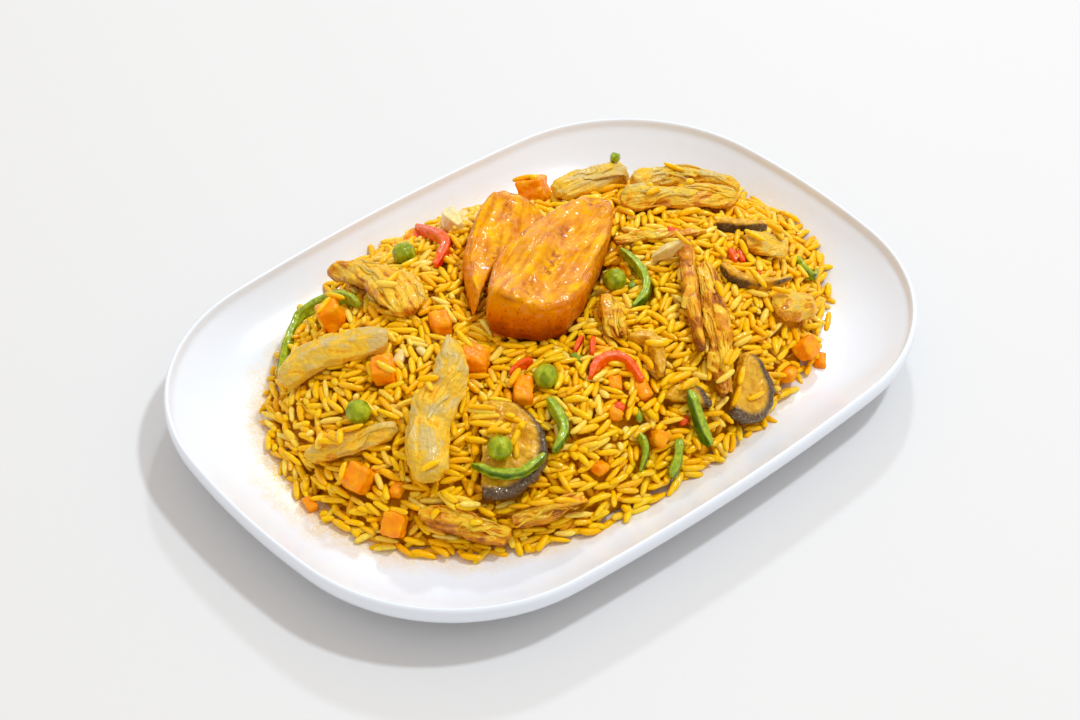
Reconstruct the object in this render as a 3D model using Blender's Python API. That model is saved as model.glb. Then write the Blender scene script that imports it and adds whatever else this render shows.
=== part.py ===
"""Arroz con pollo on an oblong coupe platter.

A mound of yellow rice fills the platter's middle, with chicken, fried plantain, peas, strips of
green and red pepper, carrot, aubergine and onion lying on it. Lengths here are millimetres, and
the finished meshes are metres. +X runs along the platter, +Z is up, and the origin is the middle
of the platter's foot, on the table.
"""
import math
import random

import bmesh
import bpy
from mathutils import Euler, Matrix, Vector
from mathutils.bvhtree import BVHTree
from mathutils.geometry import delaunay_2d_cdt

MM = 0.001
GAP = 0.4  # air between neighbouring pieces

# Platter: a rounded oblong whose sides, ends and corners are tangent arcs
HALF_LENGTH = 145.0
HALF_WIDTH = 105.5
SIDE_RADIUS = 900.0
END_RADIUS = 310.0
CORNER_RADIUS = 75.0
RIM_HEIGHT = 24.0
FLOOR_HEIGHT = 6.0
WALL_RUN = 34.0  # from the rim's edge in to the flat floor
WALL_POWER = 2.2  # the wall steepens towards the rim
PLATTER_THICKNESS = 4.0
RIM_ROUND = 1.4
FOOT_INSET = 40.0
FOOT_WIDTH = 4.0
FOOT_HEIGHT = 1.6
WALL_STEPS = 5
END_STEPS, CORNER_STEPS, SIDE_STEPS = 2, 8, 3  # facets in a quarter of the outline

# Rice mound: a superellipse in plan with three soft lobes, steep at its edge and flat on top
MOUND_X, MOUND_Y = 6.5, 5.5
MOUND_REACH_X, MOUND_REACH_Y = 123.0, 87.0
MOUND_POWER = 2.12
LOBE_SIZE = 0.025
LOBE_TURN = math.radians(108)
MOUND_TOP = 38.0
MOUND_STEEPNESS = 4.5
MEAN_REACH = 103.0
LEAST_RICE = 2.0  # rice left under a piece at the mound's edge

# Grains that show on the mound: ridges of a cooked grain's size
GRAIN_SPACING = 5.9
CREST_LENGTH = 5.6
CREST_HEIGHT = 1.0
HOLLOW_DEPTH = 1.3
HOLLOW_FROM_CREST = 2.0
HOLLOW_SPACING = 3.7
SCATTER_TRIES = 30000
CELL = 10.0  # crests are looked up in squares of this size
EDGE_POINTS = 92
EDGE_WANDER = 0.012
PRESS_ROUNDS = 4
EDGE_MARGIN = 3.5  # no crest or hollow nearer to the edge than this
UNDERSIDE = ((0.93, 44), (0.86, 40), (0.79, 36), (0.72, 28))  # rings as (reach, points)

# Pieces that lie on the rice
SAMPLE_SPACING = 1.5
SIDE_CHECK = 0.35  # how far off its middle a strip feels for what lies under it, in widths
BLUNT_END = 0.55  # a strip's size at its ends
CHICKEN_ROUGHNESS = 0.12
SLAB_POINTS = 18
CUBE_WANDER = 0.7
CUBE_BEVEL = 0.9
PEA_RADIUS = 4.9
PEA_SQUASH = 0.93
SHRED = [(math.cos(math.tau * k / 8), math.sin(math.tau * k / 8)) for k in range(8)]
BAND = [(1.0, -1.0), (1.0, 0.3), (0.6, 1.0), (-0.6, 1.0), (-1.0, 0.3), (-1.0, -1.0)]
DOWN = Vector((0, 0, -1))

LOOKS = {  # base colour and roughness
    "glaze": ((0.86, 0.86, 0.84), 0.12),
    "rice": ((0.86, 0.56, 0.06), 0.45),
    "chicken": ((0.78, 0.58, 0.28), 0.45),
    "plantain": ((0.75, 0.35, 0.03), 0.35),
    "pea": ((0.28, 0.42, 0.06), 0.30),
    "green_pepper": ((0.22, 0.40, 0.04), 0.30),
    "red_pepper": ((0.72, 0.07, 0.02), 0.30),
    "carrot": ((0.85, 0.28, 0.02), 0.40),
    "aubergine": ((0.30, 0.17, 0.06), 0.35),
    "onion": ((0.85, 0.74, 0.55), 0.30),
}

pile = []  # search trees of the platter and of each piece laid so far
laid = []  # (name, bmesh) of every piece that lies on the rice


def material(look):
    made = bpy.data.materials.get(look)
    if made:
        return made
    colour, roughness = LOOKS[look]
    made = bpy.data.materials.new(look)
    made.use_nodes = True
    shader = made.node_tree.nodes["Principled BSDF"]
    shader.inputs["Base Color"].default_value = (*colour, 1)
    shader.inputs["Roughness"].default_value = roughness
    shader.inputs["Metallic"].default_value = 0
    made.diffuse_color = (*colour, 1)
    return made


def finish(name, bm, look, smooth_angle=50):
    """Turn a bmesh in millimetres into an object in metres."""
    bmesh.ops.recalc_face_normals(bm, faces=bm.faces)
    mesh = bpy.data.meshes.new(name)
    bm.to_mesh(mesh)
    bm.free()
    mesh.transform(Matrix.Scale(MM, 4))
    mesh.shade_smooth()
    mesh.set_sharp_from_angle(angle=math.radians(smooth_angle))
    mesh.materials.append(material(look))
    made = bpy.data.objects.new(name, mesh)
    bpy.context.collection.objects.link(made)


def skin(rings):
    """Close a body through rings of points, with a flat cap on its first and its last ring."""
    bm = bmesh.new()
    loops = [[bm.verts.new(point) for point in ring] for ring in rings]
    for low, high in zip(loops, loops[1:]):
        for k in range(len(low)):
            after = (k + 1) % len(low)
            bm.faces.new((low[k], low[after], high[after], high[k]))
    bm.faces.new(loops[0])
    bm.faces.new(loops[-1])
    bmesh.ops.recalc_face_normals(bm, faces=bm.faces)
    bmesh.ops.triangulate(bm, faces=bm.faces)
    return bm


# ---------------------------------------------------------------------------- platter

def corner_centre():
    """Where a corner's arc is tangent to both the side's arc and the end's arc."""
    side = Vector((0, HALF_WIDTH - SIDE_RADIUS))
    end = Vector((HALF_LENGTH - END_RADIUS, 0))
    to_side = SIDE_RADIUS - CORNER_RADIUS
    to_end = END_RADIUS - CORNER_RADIUS
    apart = (end - side).length
    along = (to_side ** 2 - to_end ** 2 + apart ** 2) / (2 * apart)
    across = math.sqrt(to_side ** 2 - along ** 2)
    ahead = (end - side) / apart
    return side + ahead * along + Vector((-ahead.y, ahead.x)) * -across


def arc_ends(corner):
    """Directions in which the end's arc meets the corner's, and the corner's the side's."""
    end_turn = math.atan2(corner.y, corner.x - (HALF_LENGTH - END_RADIUS))
    side_turn = math.atan2(corner.y - (HALF_WIDTH - SIDE_RADIUS), corner.x)
    return end_turn, side_turn


CORNER = corner_centre()
END_TURN, SIDE_TURN = arc_ends(CORNER)


def edge_point(turn, inset):
    """A point of the outline, moved inwards, where the outline faces the direction turn."""
    facing = Vector((math.cos(turn), math.sin(turn)))
    folded = math.atan2(abs(facing.y), abs(facing.x))
    if folded < END_TURN:
        centre, radius = Vector((HALF_LENGTH - END_RADIUS, 0)), END_RADIUS
    elif folded < SIDE_TURN:
        centre, radius = CORNER, CORNER_RADIUS
    else:
        centre, radius = Vector((0, HALF_WIDTH - SIDE_RADIUS)), SIDE_RADIUS
    point = centre + Vector((math.cos(folded), math.sin(folded))) * (radius - inset)
    return Vector((math.copysign(point.x, facing.x), math.copysign(point.y, facing.y)))


def outline_turns():
    """Facing directions round the outline, spread evenly within each arc."""
    quarter = [END_TURN * k / END_STEPS for k in range(END_STEPS)]
    sweep = SIDE_TURN - END_TURN
    quarter += [END_TURN + sweep * k / CORNER_STEPS for k in range(CORNER_STEPS)]
    sweep = math.pi / 2 - SIDE_TURN
    quarter += [SIDE_TURN + sweep * k / SIDE_STEPS for k in range(SIDE_STEPS)]
    half = quarter + [math.pi / 2] + [math.pi - turn for turn in reversed(quarter[1:])]
    return half + [math.pi + turn for turn in half]


def wall_height(inset):
    rise = max(0.0, (WALL_RUN - inset) / WALL_RUN)
    return FLOOR_HEIGHT + (RIM_HEIGHT - FLOOR_HEIGHT) * rise ** WALL_POWER


def platter_profile():
    """(inset, height) from the middle of the floor over the rim and down to the foot."""
    inner = []
    for step in range(WALL_STEPS + 1):
        inset = WALL_RUN + (2 * RIM_ROUND - WALL_RUN) * step / WALL_STEPS
        inner.append((inset, wall_height(inset) - 0.5 * RIM_ROUND * (step == WALL_STEPS)))
    outer = []
    for inset, height in inner[1:-1]:
        slope = wall_height(inset - 1) - height
        slant = math.hypot(1, slope)
        outer.append((inset - PLATTER_THICKNESS * slope / slant,
                      height - PLATTER_THICKNESS / slant))
    foot = [(FOOT_INSET, FOOT_HEIGHT + 0.2), (FOOT_INSET + 0.5, 0),
            (FOOT_INSET + FOOT_WIDTH, 0), (FOOT_INSET + FOOT_WIDTH + 0.5, FOOT_HEIGHT)]
    rim = [(RIM_ROUND, RIM_HEIGHT), (0.4, RIM_HEIGHT - 0.4), (0, RIM_HEIGHT - 1.8)]
    return inner + rim + outer[::-1] + foot


def make_platter():
    turns = outline_turns()
    rings = [[(*edge_point(turn, inset), height) for turn in turns]
             for inset, height in platter_profile()]
    bm = skin(rings)
    pile.append(BVHTree.FromBMesh(bm))
    finish("platter", bm, "glaze", 40)


# ---------------------------------------------------------------------------- the bare mound

def reach(dx, dy):
    """How far out a point is, as a share of the mound's reach in its direction."""
    across, along = dx / MOUND_REACH_X, dy / MOUND_REACH_Y
    plain = (abs(across) ** MOUND_POWER + abs(along) ** MOUND_POWER) ** (1 / MOUND_POWER)
    lobes = 1 + LOBE_SIZE * math.cos(3 * (math.atan2(along, across) - LOBE_TURN))
    return plain / lobes


def bed(x, y):
    """Height of the platter's upper surface."""
    found = pile[0].ray_cast(Vector((x, y, 2 * MOUND_TOP)), DOWN)[0]
    return found.z if found else 0.0


def core(x, y):
    """Height of the bare mound."""
    base = bed(x, y)
    share = reach(x - MOUND_X, y - MOUND_Y)
    return base + (MOUND_TOP - base) * max(0.0, 1 - share ** MOUND_STEEPNESS)


def upright(x, y):
    """The mound's outward direction at a point."""
    step = 2.0
    rise_x = (core(x + step, y) - core(x - step, y)) / (2 * step)
    rise_y = (core(x, y + step) - core(x, y - step)) / (2 * step)
    return Vector((-rise_x, -rise_y, 1)).normalized()


# ---------------------------------------------------------------------------- laying pieces

def resting(x, y, sink):
    """Height at which a piece's underside rests, on the rice or on what lies there."""
    height = max(core(x, y) - sink, bed(x, y) + LEAST_RICE + GAP)
    for tree in pile[1:]:
        found = tree.ray_cast(Vector((x, y, 4 * MOUND_TOP)), DOWN)[0]
        if found:
            height = max(height, found.z + GAP)
    return height


def samples(bm):
    """Points all over a piece."""
    for face in bm.faces:
        a, b, c = (vert.co for vert in face.verts)
        longest = max((b - a).length, (c - a).length, (c - b).length)
        steps = max(1, math.ceil(longest / SAMPLE_SPACING))
        for i in range(steps + 1):
            for j in range(steps + 1 - i):
                yield a + (b - a) * (i / steps) + (c - a) * (j / steps)


def settle(name, bm, look, smooth_angle=50):
    """Raise a piece until it is clear of all that lies under it, then keep it."""
    lift = 0.0
    tree = BVHTree.FromBMesh(bm)
    for point in samples(bm):
        for under in pile:
            found = under.ray_cast(Vector((point.x, point.y, 4 * MOUND_TOP)), DOWN)[0]
            if found:
                lift = max(lift, found.z + GAP - point.z)
    for _, other in laid:
        for vert in other.verts:
            found = tree.ray_cast(Vector((vert.co.x, vert.co.y, -1)), -DOWN)[0]
            if found:
                lift = max(lift, vert.co.z + GAP - found.z)
    bmesh.ops.translate(bm, vec=(0, 0, lift), verts=bm.verts)
    pile.append(BVHTree.FromBMesh(bm))
    laid.append((name, bm.copy()))
    finish(name, bm, look, smooth_angle)


def along_route(route, share):
    """A point on the smooth curve through a route's points."""
    place = share * (len(route) - 1)
    first = min(int(place), len(route) - 2)
    t = place - first
    before = route[max(first - 1, 0)]
    a, b = route[first], route[first + 1]
    after = route[min(first + 2, len(route) - 1)]
    return [0.5 * (2 * q + (r - p) * t + (2 * p - 5 * q + 4 * r - s) * t * t
                   + (3 * q - p - 3 * r + s) * t ** 3)
            for p, q, r, s in zip(before, a, b, after)]


def between(values, share):
    place = share * (len(values) - 1)
    first = min(int(place), len(values) - 2)
    return values[first] + (values[first + 1] - values[first]) * (place - first)


def lay(name, look, route, widths, height, sink=1.0, section=SHRED, rough=0.0, stations=7):
    """Lay a strip over the mound along a route of (x, y) or (x, y, lift)."""
    route = [(*point, 0.0)[:3] for point in route]
    spread = random.Random(name)
    shares = [k / (stations - 1) for k in range(stations)]
    plan = [along_route(route, share) for share in shares]
    low = []
    for share, (x, y, lift) in zip(shares, plan):
        aside = between(widths, share) * SIDE_CHECK
        low.append(max(resting(x + i * aside, y + j * aside, sink)
                       for i, j in ((0, 0), (1, 0), (-1, 0), (0, 1), (0, -1))) + lift)
    low = [max(h, (low[max(k - 1, 0)] + low[min(k + 1, len(low) - 1)]) / 2)
           for k, h in enumerate(low)]
    spine = [Vector((x, y, h + height / 2)) for (x, y, _), h in zip(plan, low)]
    rings = []
    for k, (share, centre) in enumerate(zip(shares, spine)):
        ahead = (spine[min(k + 1, stations - 1)] - spine[max(k - 1, 0)]).normalized()
        side = ahead.cross(upright(centre.x, centre.y)).normalized()
        above = side.cross(ahead)
        blunt = BLUNT_END if k in (0, stations - 1) else 1.0
        half_width = between(widths, share) / 2 * blunt
        half_height = height / 2 * blunt
        ring = []
        for across, up in section:
            uneven = 1 + rough * spread.uniform(-1, 1)
            ring.append(centre + side * across * half_width * uneven
                        + above * up * half_height * uneven)
        rings.append(ring)
    settle(name, skin(rings), look)


def slab(name, outline, layers, centre, tilt):
    """Lay a plantain slice: an outline in plan, shrunk layer by layer as (share, height)."""
    closed = outline + outline[:1]
    points = [along_route(closed, k / SLAB_POINTS) for k in range(SLAB_POINTS)]
    rings = [[(x * share, y * share, height) for x, y in points] for share, height in layers]
    bm = skin(rings)
    turn = Euler((math.radians(tilt[0]), math.radians(tilt[1]), 0)).to_matrix()
    bmesh.ops.transform(bm, matrix=turn.to_4x4(), verts=bm.verts)
    bmesh.ops.translate(bm, vec=centre, verts=bm.verts)
    settle(name, bm, "plantain")


def carrot(name, x, y, size, turn, sink):
    """Lay a carrot cube, with knocked-off edges and corners that aren't quite square."""
    spread = random.Random(name)
    bm = bmesh.new()
    bmesh.ops.create_cube(bm, size=1)
    bmesh.ops.scale(bm, vec=size, verts=bm.verts)
    for vert in bm.verts:
        vert.co += Vector(spread.uniform(-CUBE_WANDER, CUBE_WANDER) for _ in range(3))
    bmesh.ops.bevel(bm, geom=bm.edges[:], offset=CUBE_BEVEL, segments=1, profile=0.5,
                    affect="EDGES", material=-1)
    bmesh.ops.triangulate(bm, faces=bm.faces)
    lean = Vector((0, 0, 1)).rotation_difference(upright(x, y)).to_matrix().to_4x4()
    spin = Matrix.Rotation(math.radians(turn), 4, "Z")
    bmesh.ops.transform(bm, matrix=lean @ spin, verts=bm.verts)
    centre = Vector((x, y, resting(x, y, sink))) + upright(x, y) * size[2] / 2
    bmesh.ops.translate(bm, vec=centre, verts=bm.verts)
    settle(name, bm, "carrot", 30)


def pea(name, x, y, sink):
    bm = bmesh.new()
    bmesh.ops.create_icosphere(bm, subdivisions=2, radius=PEA_RADIUS)
    bmesh.ops.scale(bm, vec=(1, 1, PEA_SQUASH), verts=bm.verts)
    bmesh.ops.translate(bm, vec=(x, y, resting(x, y, sink) + PEA_RADIUS), verts=bm.verts)
    settle(name, bm, "pea", 60)


# ---------------------------------------------------------------------------- toppings

# Half-moon slices of aubergine: x, y, radius, first and last direction of the round side, sink
MOON_STEPS = 12
MOON_LAYERS = ((0.96, 0), (1.0, 1.2), (1.0, 4), (0.95, 5))  # share of the radius, height
HALF_MOONS = {
    "aubergine_large": (-59, -38, 19.5, 62, -143, 3.5),
    "aubergine_front": (12, -64, 10.5, 125, -20, 2.5),
    "aubergine_right": (40, -65, 14.0, 60, -150, 3.0),
}

CHICKEN = {  # route, widths, thickness, sink
    "chicken_long": (((64, -20), (46, -45), (28, -69)), (8, 10, 11, 9, 5), 8, 1.5),
    "chicken_dark": (((66, -8), (48, -28), (30, -54)), (5, 7, 7, 6, 4), 7, 0.5),
    "chicken_big": (((-43, 7), (-54, -8), (-67, -14), (-77, -22), (-86, -35)),
                    (9, 15, 17, 20, 19, 13), 10, 1.5),
    "chicken_curled": (((-40, 84, 3), (-37, 69), (-37, 50), (-42, 31)),
                       (8, 13, 17, 20, 15), 8, 0),
    "chicken_smooth": (((-92, 47), (-81, 45), (-70, 36), (-57, 26)), (8, 15, 17, 15, 10), 10, 1),
    "chicken_half_sunk": (((-106, 14), (-94, 2), (-80, -7)), (7, 11, 9), 8, 3.5),
    "chicken_brown": (((-93, -37), (-86, -47), (-78, -57), (-73, -63)), (7, 12, 11, 6), 7, 3),
    "chicken_low": (((-69, -60), (-59, -65), (-42, -69)), (5, 8, 5), 6, 2.5),
    "chicken_back_left": (((50, 53), (66, 51), (86, 51)), (11, 15, 15, 11), 11, 2),
    "chicken_back_right": (((80, 38), (104, 32), (120, 17)), (10, 14, 14, 9), 9, 0.5),
    "chicken_back_low": (((65, 30), (84, 18), (107, 6)), (10, 14, 15, 10), 9, 1),
    "chicken_thin": (((46, 13), (58, 6), (79, -5)), (4, 5, 5, 4), 4.5, 0.5),
    "chicken_browned": (((19, -12), (15, -20), (9, -31)), (7, 9, 7), 7, 0.5),
    "chicken_right_upper": (((89, -17), (104, -25)), (13, 15, 12), 8, 2.5),
    "chicken_right_lower": (((75, -48), (94, -51)), (13, 15, 11), 8, 2.5),
}

GREEN_PEPPER = {  # route, widths, height, sink
    "green_pepper_left": (((-49.5, 54), (-48.5, 63), (-54, 71.5, 3), (-65, 75, 3), (-86, 58)),
                          (4, 3), 5, 0.5),
    "green_pepper_middle": (((44, 7), (43, -2), (40, -12), (33, -19), (25, -21)), (3, 5, 4), 4, 0.5),
    "green_pepper_hook": (((-32, -37), (-33, -44), (-36, -51), (-44, -54)), (5, 5, 4), 4.5, 0.5),
    "green_pepper_over": (((-71, -40), (-68, -48), (-60, -55), (-49, -55)), (3, 4, 4), 4, 0),
    "green_pepper_right": (((14, -64), (13, -71), (13, -78)), (5, 6, 5), 3.5, 0),
    "green_pepper_short": (((2, -72), (-2, -76), (-8, -79)), (5, 5), 4, 1),
    "green_pepper_thin": (((-11, -64), (-12, -69), (-18, -73)), (2.5, 3), 4, 1.5),
    "green_pepper_edge": (((109, -27), (107, -32), (110, -36), (116, -32)), (2.5, 2.5), 3.5, 0.5),
    "green_pepper_top": (((79, 51), (83, 51)), (5, 5), 4, 0),
}

RED_PEPPER = {
    "red_pepper_back": (((3, 84), (0, 69), (-4, 56), (-16, 48)), (4, 6, 6), 4, 0.5),
    "red_pepper_arc": (((-13, -39), (-6, -35), (1, -36), (4, -42), (2, -51)), (4, 5, 4), 4, 0.5),
    "red_pepper_upright": (((2, -24), (-5, -31)), (4, 4), 4, 1),
    "red_pepper_under": (((-1, -21), (-8, -25)), (4, 3.5), 4, 1),
    "red_pepper_thin": (((-34, -18), (-28, -17), (-23, -18)), (3, 3.5), 3.5, 1),
    "red_pepper_right": (((80, -17), (77, -24)), (4, 4), 4, 1),
    "red_pepper_corner": (((37, 77), (43, 78)), (3, 5), 4, 1),
}

AUBERGINE_STRIPS = {
    "aubergine_middle": (((12, -33), (18, -38), (16, -45), (10, -53)), (5, 7, 5), 5, 0.5),
    "aubergine_thin_upper": (((87, -2), (95, -8), (107, -11)), (4, 4.5, 3), 4.5, 0.5),
    "aubergine_thin_lower": (((70, -23), (70, -31), (77, -37), (93, -39)), (4, 4.5, 3), 4.5, 0.5),
}

ONION = {
    "onion_back": (((20, 83), (12, 74), (8, 62)), (6, 10, 7), 5, 0.5),
    "onion_middle": (((50, -5), (60, -12)), (5, 6, 4), 4, 0.5),
}

CARROT = {  # x, y, size, turn, sink
    "carrot_back": (50, 65, (12, 11, 10), 35, 3.5),
    "carrot_left": (-58, 56.5, (9, 9, 10), 60, 2),
    "carrot_beside_smooth": (-66, 16, (10, 9, 8), 50, 2),
    "carrot_beside_big": (-39, -4, (10, 10, 8), 35, 2.5),
    "carrot_middle": (-35, -27, (12, 7, 6), 48, 3),
    "carrot_front": (-98, -10, (10, 10, 8), 10, 3),
    "carrot_front_low": (-99, -31, (9, 8, 7), 35, 2.5),
    "carrot_right": (78, -60, (8, 8, 7), 15, 1.5),
    "carrot_under_curl": (-36, 20, (9, 7, 6), 70, 2),
    "carrot_sunk": (-5.5, -66.5, (6, 6, 7), 30, 2.5),
}

PEAS = {  # x, y, sink
    "pea_back_left": (-18, 65, 2.0),
    "pea_bright": (-86, 7, 2.5),
    "pea_middle": (-26, -29, 2.0),
    "pea_on_aubergine": (-61, -44, 0),
    "pea_upper": (29, -6, 2.0),
}

# Two thick slices of plantain, flat above with a round belly; points are from the slice's middle
PLANTAIN_BACK = ((-30, -25), (-18, -2), (-7, 9), (7, 20), (21, 26), (30, 18), (30, 7), (20, 1),
                 (-1, -5), (-14, -12), (-23, -19))
PLANTAIN_FRONT = ((-41, -8), (-32, -22), (-14, -27), (8, -14), (26, -2), (40, 11), (42, 18),
                  (30, 23), (12, 21), (-12, 15), (-30, 4))
PLANTAIN_BACK_LAYERS = ((0.55, -8), (0.84, -6.5), (0.97, -3), (1.0, 1), (0.975, 4), (0.90, 5))
PLANTAIN_FRONT_LAYERS = ((0.74, -17), (0.93, -15), (0.99, -8), (1.0, 1), (0.975, 4), (0.90, 5))


def half_moon(name, x, y, radius, first, last, sink):
    """Lay a slice with a round side of skin, cut off straight on its other side."""
    turns = [math.radians(first + (last - first) * k / MOON_STEPS) for k in range(MOON_STEPS + 1)]
    rings = [[(radius * share * math.cos(turn), radius * share * math.sin(turn), height)
              for turn in turns] for share, height in MOON_LAYERS]
    bm = skin(rings)
    lean = Vector((0, 0, 1)).rotation_difference(upright(x, y)).to_matrix().to_4x4()
    bmesh.ops.transform(bm, matrix=lean, verts=bm.verts)
    bmesh.ops.translate(bm, vec=(x, y, core(x, y) - sink), verts=bm.verts)
    settle(name, bm, "aubergine", 35)


def lay_chicken(name):
    route, widths, height, sink = CHICKEN[name]
    stations = 5 if len(route) == 2 else 3 + 2 * len(route)
    lay(name, "chicken", route, widths, height, sink, SHRED,
        CHICKEN_ROUGHNESS, stations)


def make_toppings():
    for name in ("chicken_brown", "chicken_low"):
        lay_chicken(name)
    for name, shape in HALF_MOONS.items():
        half_moon(name, *shape)
    for name, (x, y, size, turn, sink) in CARROT.items():
        carrot(name, x, y, size, turn, sink)
    for name, (route, widths, height, sink) in AUBERGINE_STRIPS.items():
        lay(name, "aubergine", route, widths, height, sink, BAND, 0.04, 7)
    for name in CHICKEN:
        if name not in ("chicken_brown", "chicken_low"):
            lay_chicken(name)
    slab("plantain_back", PLANTAIN_BACK, PLANTAIN_BACK_LAYERS, (6, 38, 40), (13, 12))
    slab("plantain_front", PLANTAIN_FRONT, PLANTAIN_FRONT_LAYERS, (14, 11, 49), (1, 9))
    for name, (x, y, sink) in PEAS.items():
        pea(name, x, y, sink)
    for look, strips in (("green_pepper", GREEN_PEPPER), ("red_pepper", RED_PEPPER),
                         ("onion", ONION)):
        for name, (route, widths, height, sink) in strips.items():
            stations = 3 + len(route) * (len(route) > 2)
            lay(name, look, route, widths, height, sink, BAND, 0.05, stations)


# ---------------------------------------------------------------------------- rice

def profile_lengths():
    """Length over the mound from its crown out to each share of its reach."""
    steps = 60
    lengths = [0.0]
    for k in range(steps):
        inner, outer = (k / steps) ** MOUND_STEEPNESS, ((k + 1) / steps) ** MOUND_STEEPNESS
        drop = (MOUND_TOP - FLOOR_HEIGHT) * (outer - inner)
        lengths.append(lengths[-1] + math.hypot(MEAN_REACH / steps, drop) / MEAN_REACH)
    return lengths


LENGTHS = profile_lengths()


def unroll(share):
    """The reach at which the profile has a given length."""
    k = next((k for k, length in enumerate(LENGTHS) if length > share), len(LENGTHS) - 1)
    part = (share - LENGTHS[k - 1]) / (LENGTHS[k] - LENGTHS[k - 1])
    return (k - 1 + part) / (len(LENGTHS) - 1)


def on_mound(flat, out):
    """The point of the mound under a point of its flattened skin, moved outwards by out."""
    share = reach(flat.x, flat.y)
    shrink = unroll(share) / share if share > 0 else 1
    x, y = MOUND_X + flat.x * shrink, MOUND_Y + flat.y * shrink
    point = Vector((x, y, core(x, y))) + upright(x, y) * out
    point.z = max(point.z, bed(point.x, point.y) + LEAST_RICE)
    return point


def scatter(spread, limit, clear_of, spacing):
    """Random points on the flattened skin, no two nearer than spacing."""
    cells = {}
    kept = []
    widest = limit * (1 + LOBE_SIZE)
    for _ in range(SCATTER_TRIES):
        point = Vector((spread.uniform(-1, 1) * MOUND_REACH_X * widest,
                        spread.uniform(-1, 1) * MOUND_REACH_Y * widest))
        if reach(point.x, point.y) > limit:
            continue
        cell = (int(point.x // spacing), int(point.y // spacing))
        near = [other for i in (-1, 0, 1) for j in (-1, 0, 1)
                for other in cells.get((cell[0] + i, cell[1] + j), ())]
        if all((point - other).length > spacing for other in near) and clear_of(point):
            cells.setdefault(cell, []).append(point)
            kept.append(point)
    return kept


def from_crest(point, crest):
    middle, half = crest
    along = max(-1.0, min(1.0, (point - middle).dot(half) / half.length_squared))
    return (point - middle - half * along).length


def make_rice():
    spread = random.Random(20)
    outer = LENGTHS[-1]
    inside = outer - EDGE_MARGIN / MEAN_REACH
    half_crest = CREST_LENGTH / 2
    middles = scatter(spread, inside - half_crest / MEAN_REACH, lambda point: True, GRAIN_SPACING)
    crests = []
    for middle in middles:
        turn = spread.uniform(0, math.pi)
        half = Vector((math.cos(turn), math.sin(turn))) * half_crest
        crests.append((middle, half))
    cells = {}
    for crest in crests:
        cells.setdefault((crest[0].x // CELL, crest[0].y // CELL), []).append(crest)

    def off_crests(point):
        near = [crest for i in (-1, 0, 1) for j in (-1, 0, 1)
                for crest in cells.get((point.x // CELL + i, point.y // CELL + j), ())]
        return all(from_crest(point, crest) > HOLLOW_FROM_CREST for crest in near)

    hollows = scatter(spread, inside, off_crests, HOLLOW_SPACING)
    edge = []
    for k in range(EDGE_POINTS):
        turn = math.tau * k / EDGE_POINTS
        ray = Vector((math.cos(turn) * MOUND_REACH_X, math.sin(turn) * MOUND_REACH_Y))
        share = outer + spread.uniform(-1, 1) * EDGE_WANDER
        edge.append(ray * share / reach(ray.x, ray.y))

    flat = list(edge)
    heights = [None] * len(edge)
    creases = []
    for middle, half in crests:
        creases.append((len(flat), len(flat) + 1))
        flat += [middle - half, middle + half]
        heights += [CREST_HEIGHT * spread.uniform(0.5, 1.1) for _ in range(2)]
    flat += hollows
    heights += [-HOLLOW_DEPTH * spread.uniform(0.6, 1.1) for _ in hollows]
    rim = list(range(len(edge)))
    found, _, faces, origins, _, _ = delaunay_2d_cdt(flat, creases, [rim], 1, 1e-4)

    bm = bmesh.new()
    points = []
    for place, origin in zip(found, origins):
        first = min(origin)
        if heights[first] is None:
            shrink = unroll(outer) / outer
            x, y = MOUND_X + place.x * shrink, MOUND_Y + place.y * shrink
            points.append(bm.verts.new((x, y, bed(x, y) + GAP)))
        else:
            points.append(bm.verts.new(on_mound(place, heights[first])))
    top = [bm.faces.new([points[k] for k in face]) for face in faces]
    press(bm, top)

    # the underside follows the platter
    brim = [points[[min(origin) for origin in origins].index(k)] for k in rim]
    below = [Vector((vert.co.x, vert.co.y)) for vert in brim]
    for share, count in UNDERSIDE:
        for k in range(count):
            turn = math.tau * k / count
            ray = Vector((math.cos(turn) * MOUND_REACH_X, math.sin(turn) * MOUND_REACH_Y))
            below.append(Vector((MOUND_X, MOUND_Y)) + ray * share / reach(ray.x, ray.y))
    found, _, faces, origins, _, _ = delaunay_2d_cdt(below, [], [rim], 1, 1e-4)
    under = []
    for place, origin in zip(found, origins):
        first = min(origin)
        if first < len(brim):
            under.append(brim[first])
        else:
            under.append(bm.verts.new((place.x, place.y, bed(place.x, place.y) + GAP)))
    for face in faces:
        bm.faces.new([under[k] for k in reversed(face)])
    finish("rice", bm, "rice", 25)


def press(bm, top):
    """Press the rice down under every piece that lies on it."""
    bm.verts.index_update()
    for _ in range(PRESS_ROUNDS):
        lowest = {}
        tree = BVHTree.FromPolygons([vert.co for vert in bm.verts],
                                    [[vert.index for vert in face.verts] for face in top])
        for _, piece in laid:
            for point in samples(piece):
                spot, _, index, _ = tree.ray_cast(Vector((point.x, point.y, 4 * MOUND_TOP)), DOWN)
                if spot and spot.z > point.z - GAP:
                    for vert in top[index].verts:
                        lowest[vert] = max(lowest.get(vert, 0), spot.z + GAP - point.z)
        for vert, drop in lowest.items():
            floor = bed(vert.co.x, vert.co.y) + 2 * GAP
            vert.co.z = max(vert.co.z - drop, min(floor, vert.co.z))


for old in list(bpy.data.objects):
    bpy.data.objects.remove(old)
make_platter()
make_toppings()
make_rice()
for _, piece in laid:
    piece.free()
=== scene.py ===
"""Arroz con pollo on an oblong platter, dressed for a picture.

A mound of yellow rice with chicken, fried plantain and vegetables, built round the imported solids
and in their frame. Lengths are metres, and MM turns millimetres into them.
"""
import math
import random

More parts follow.
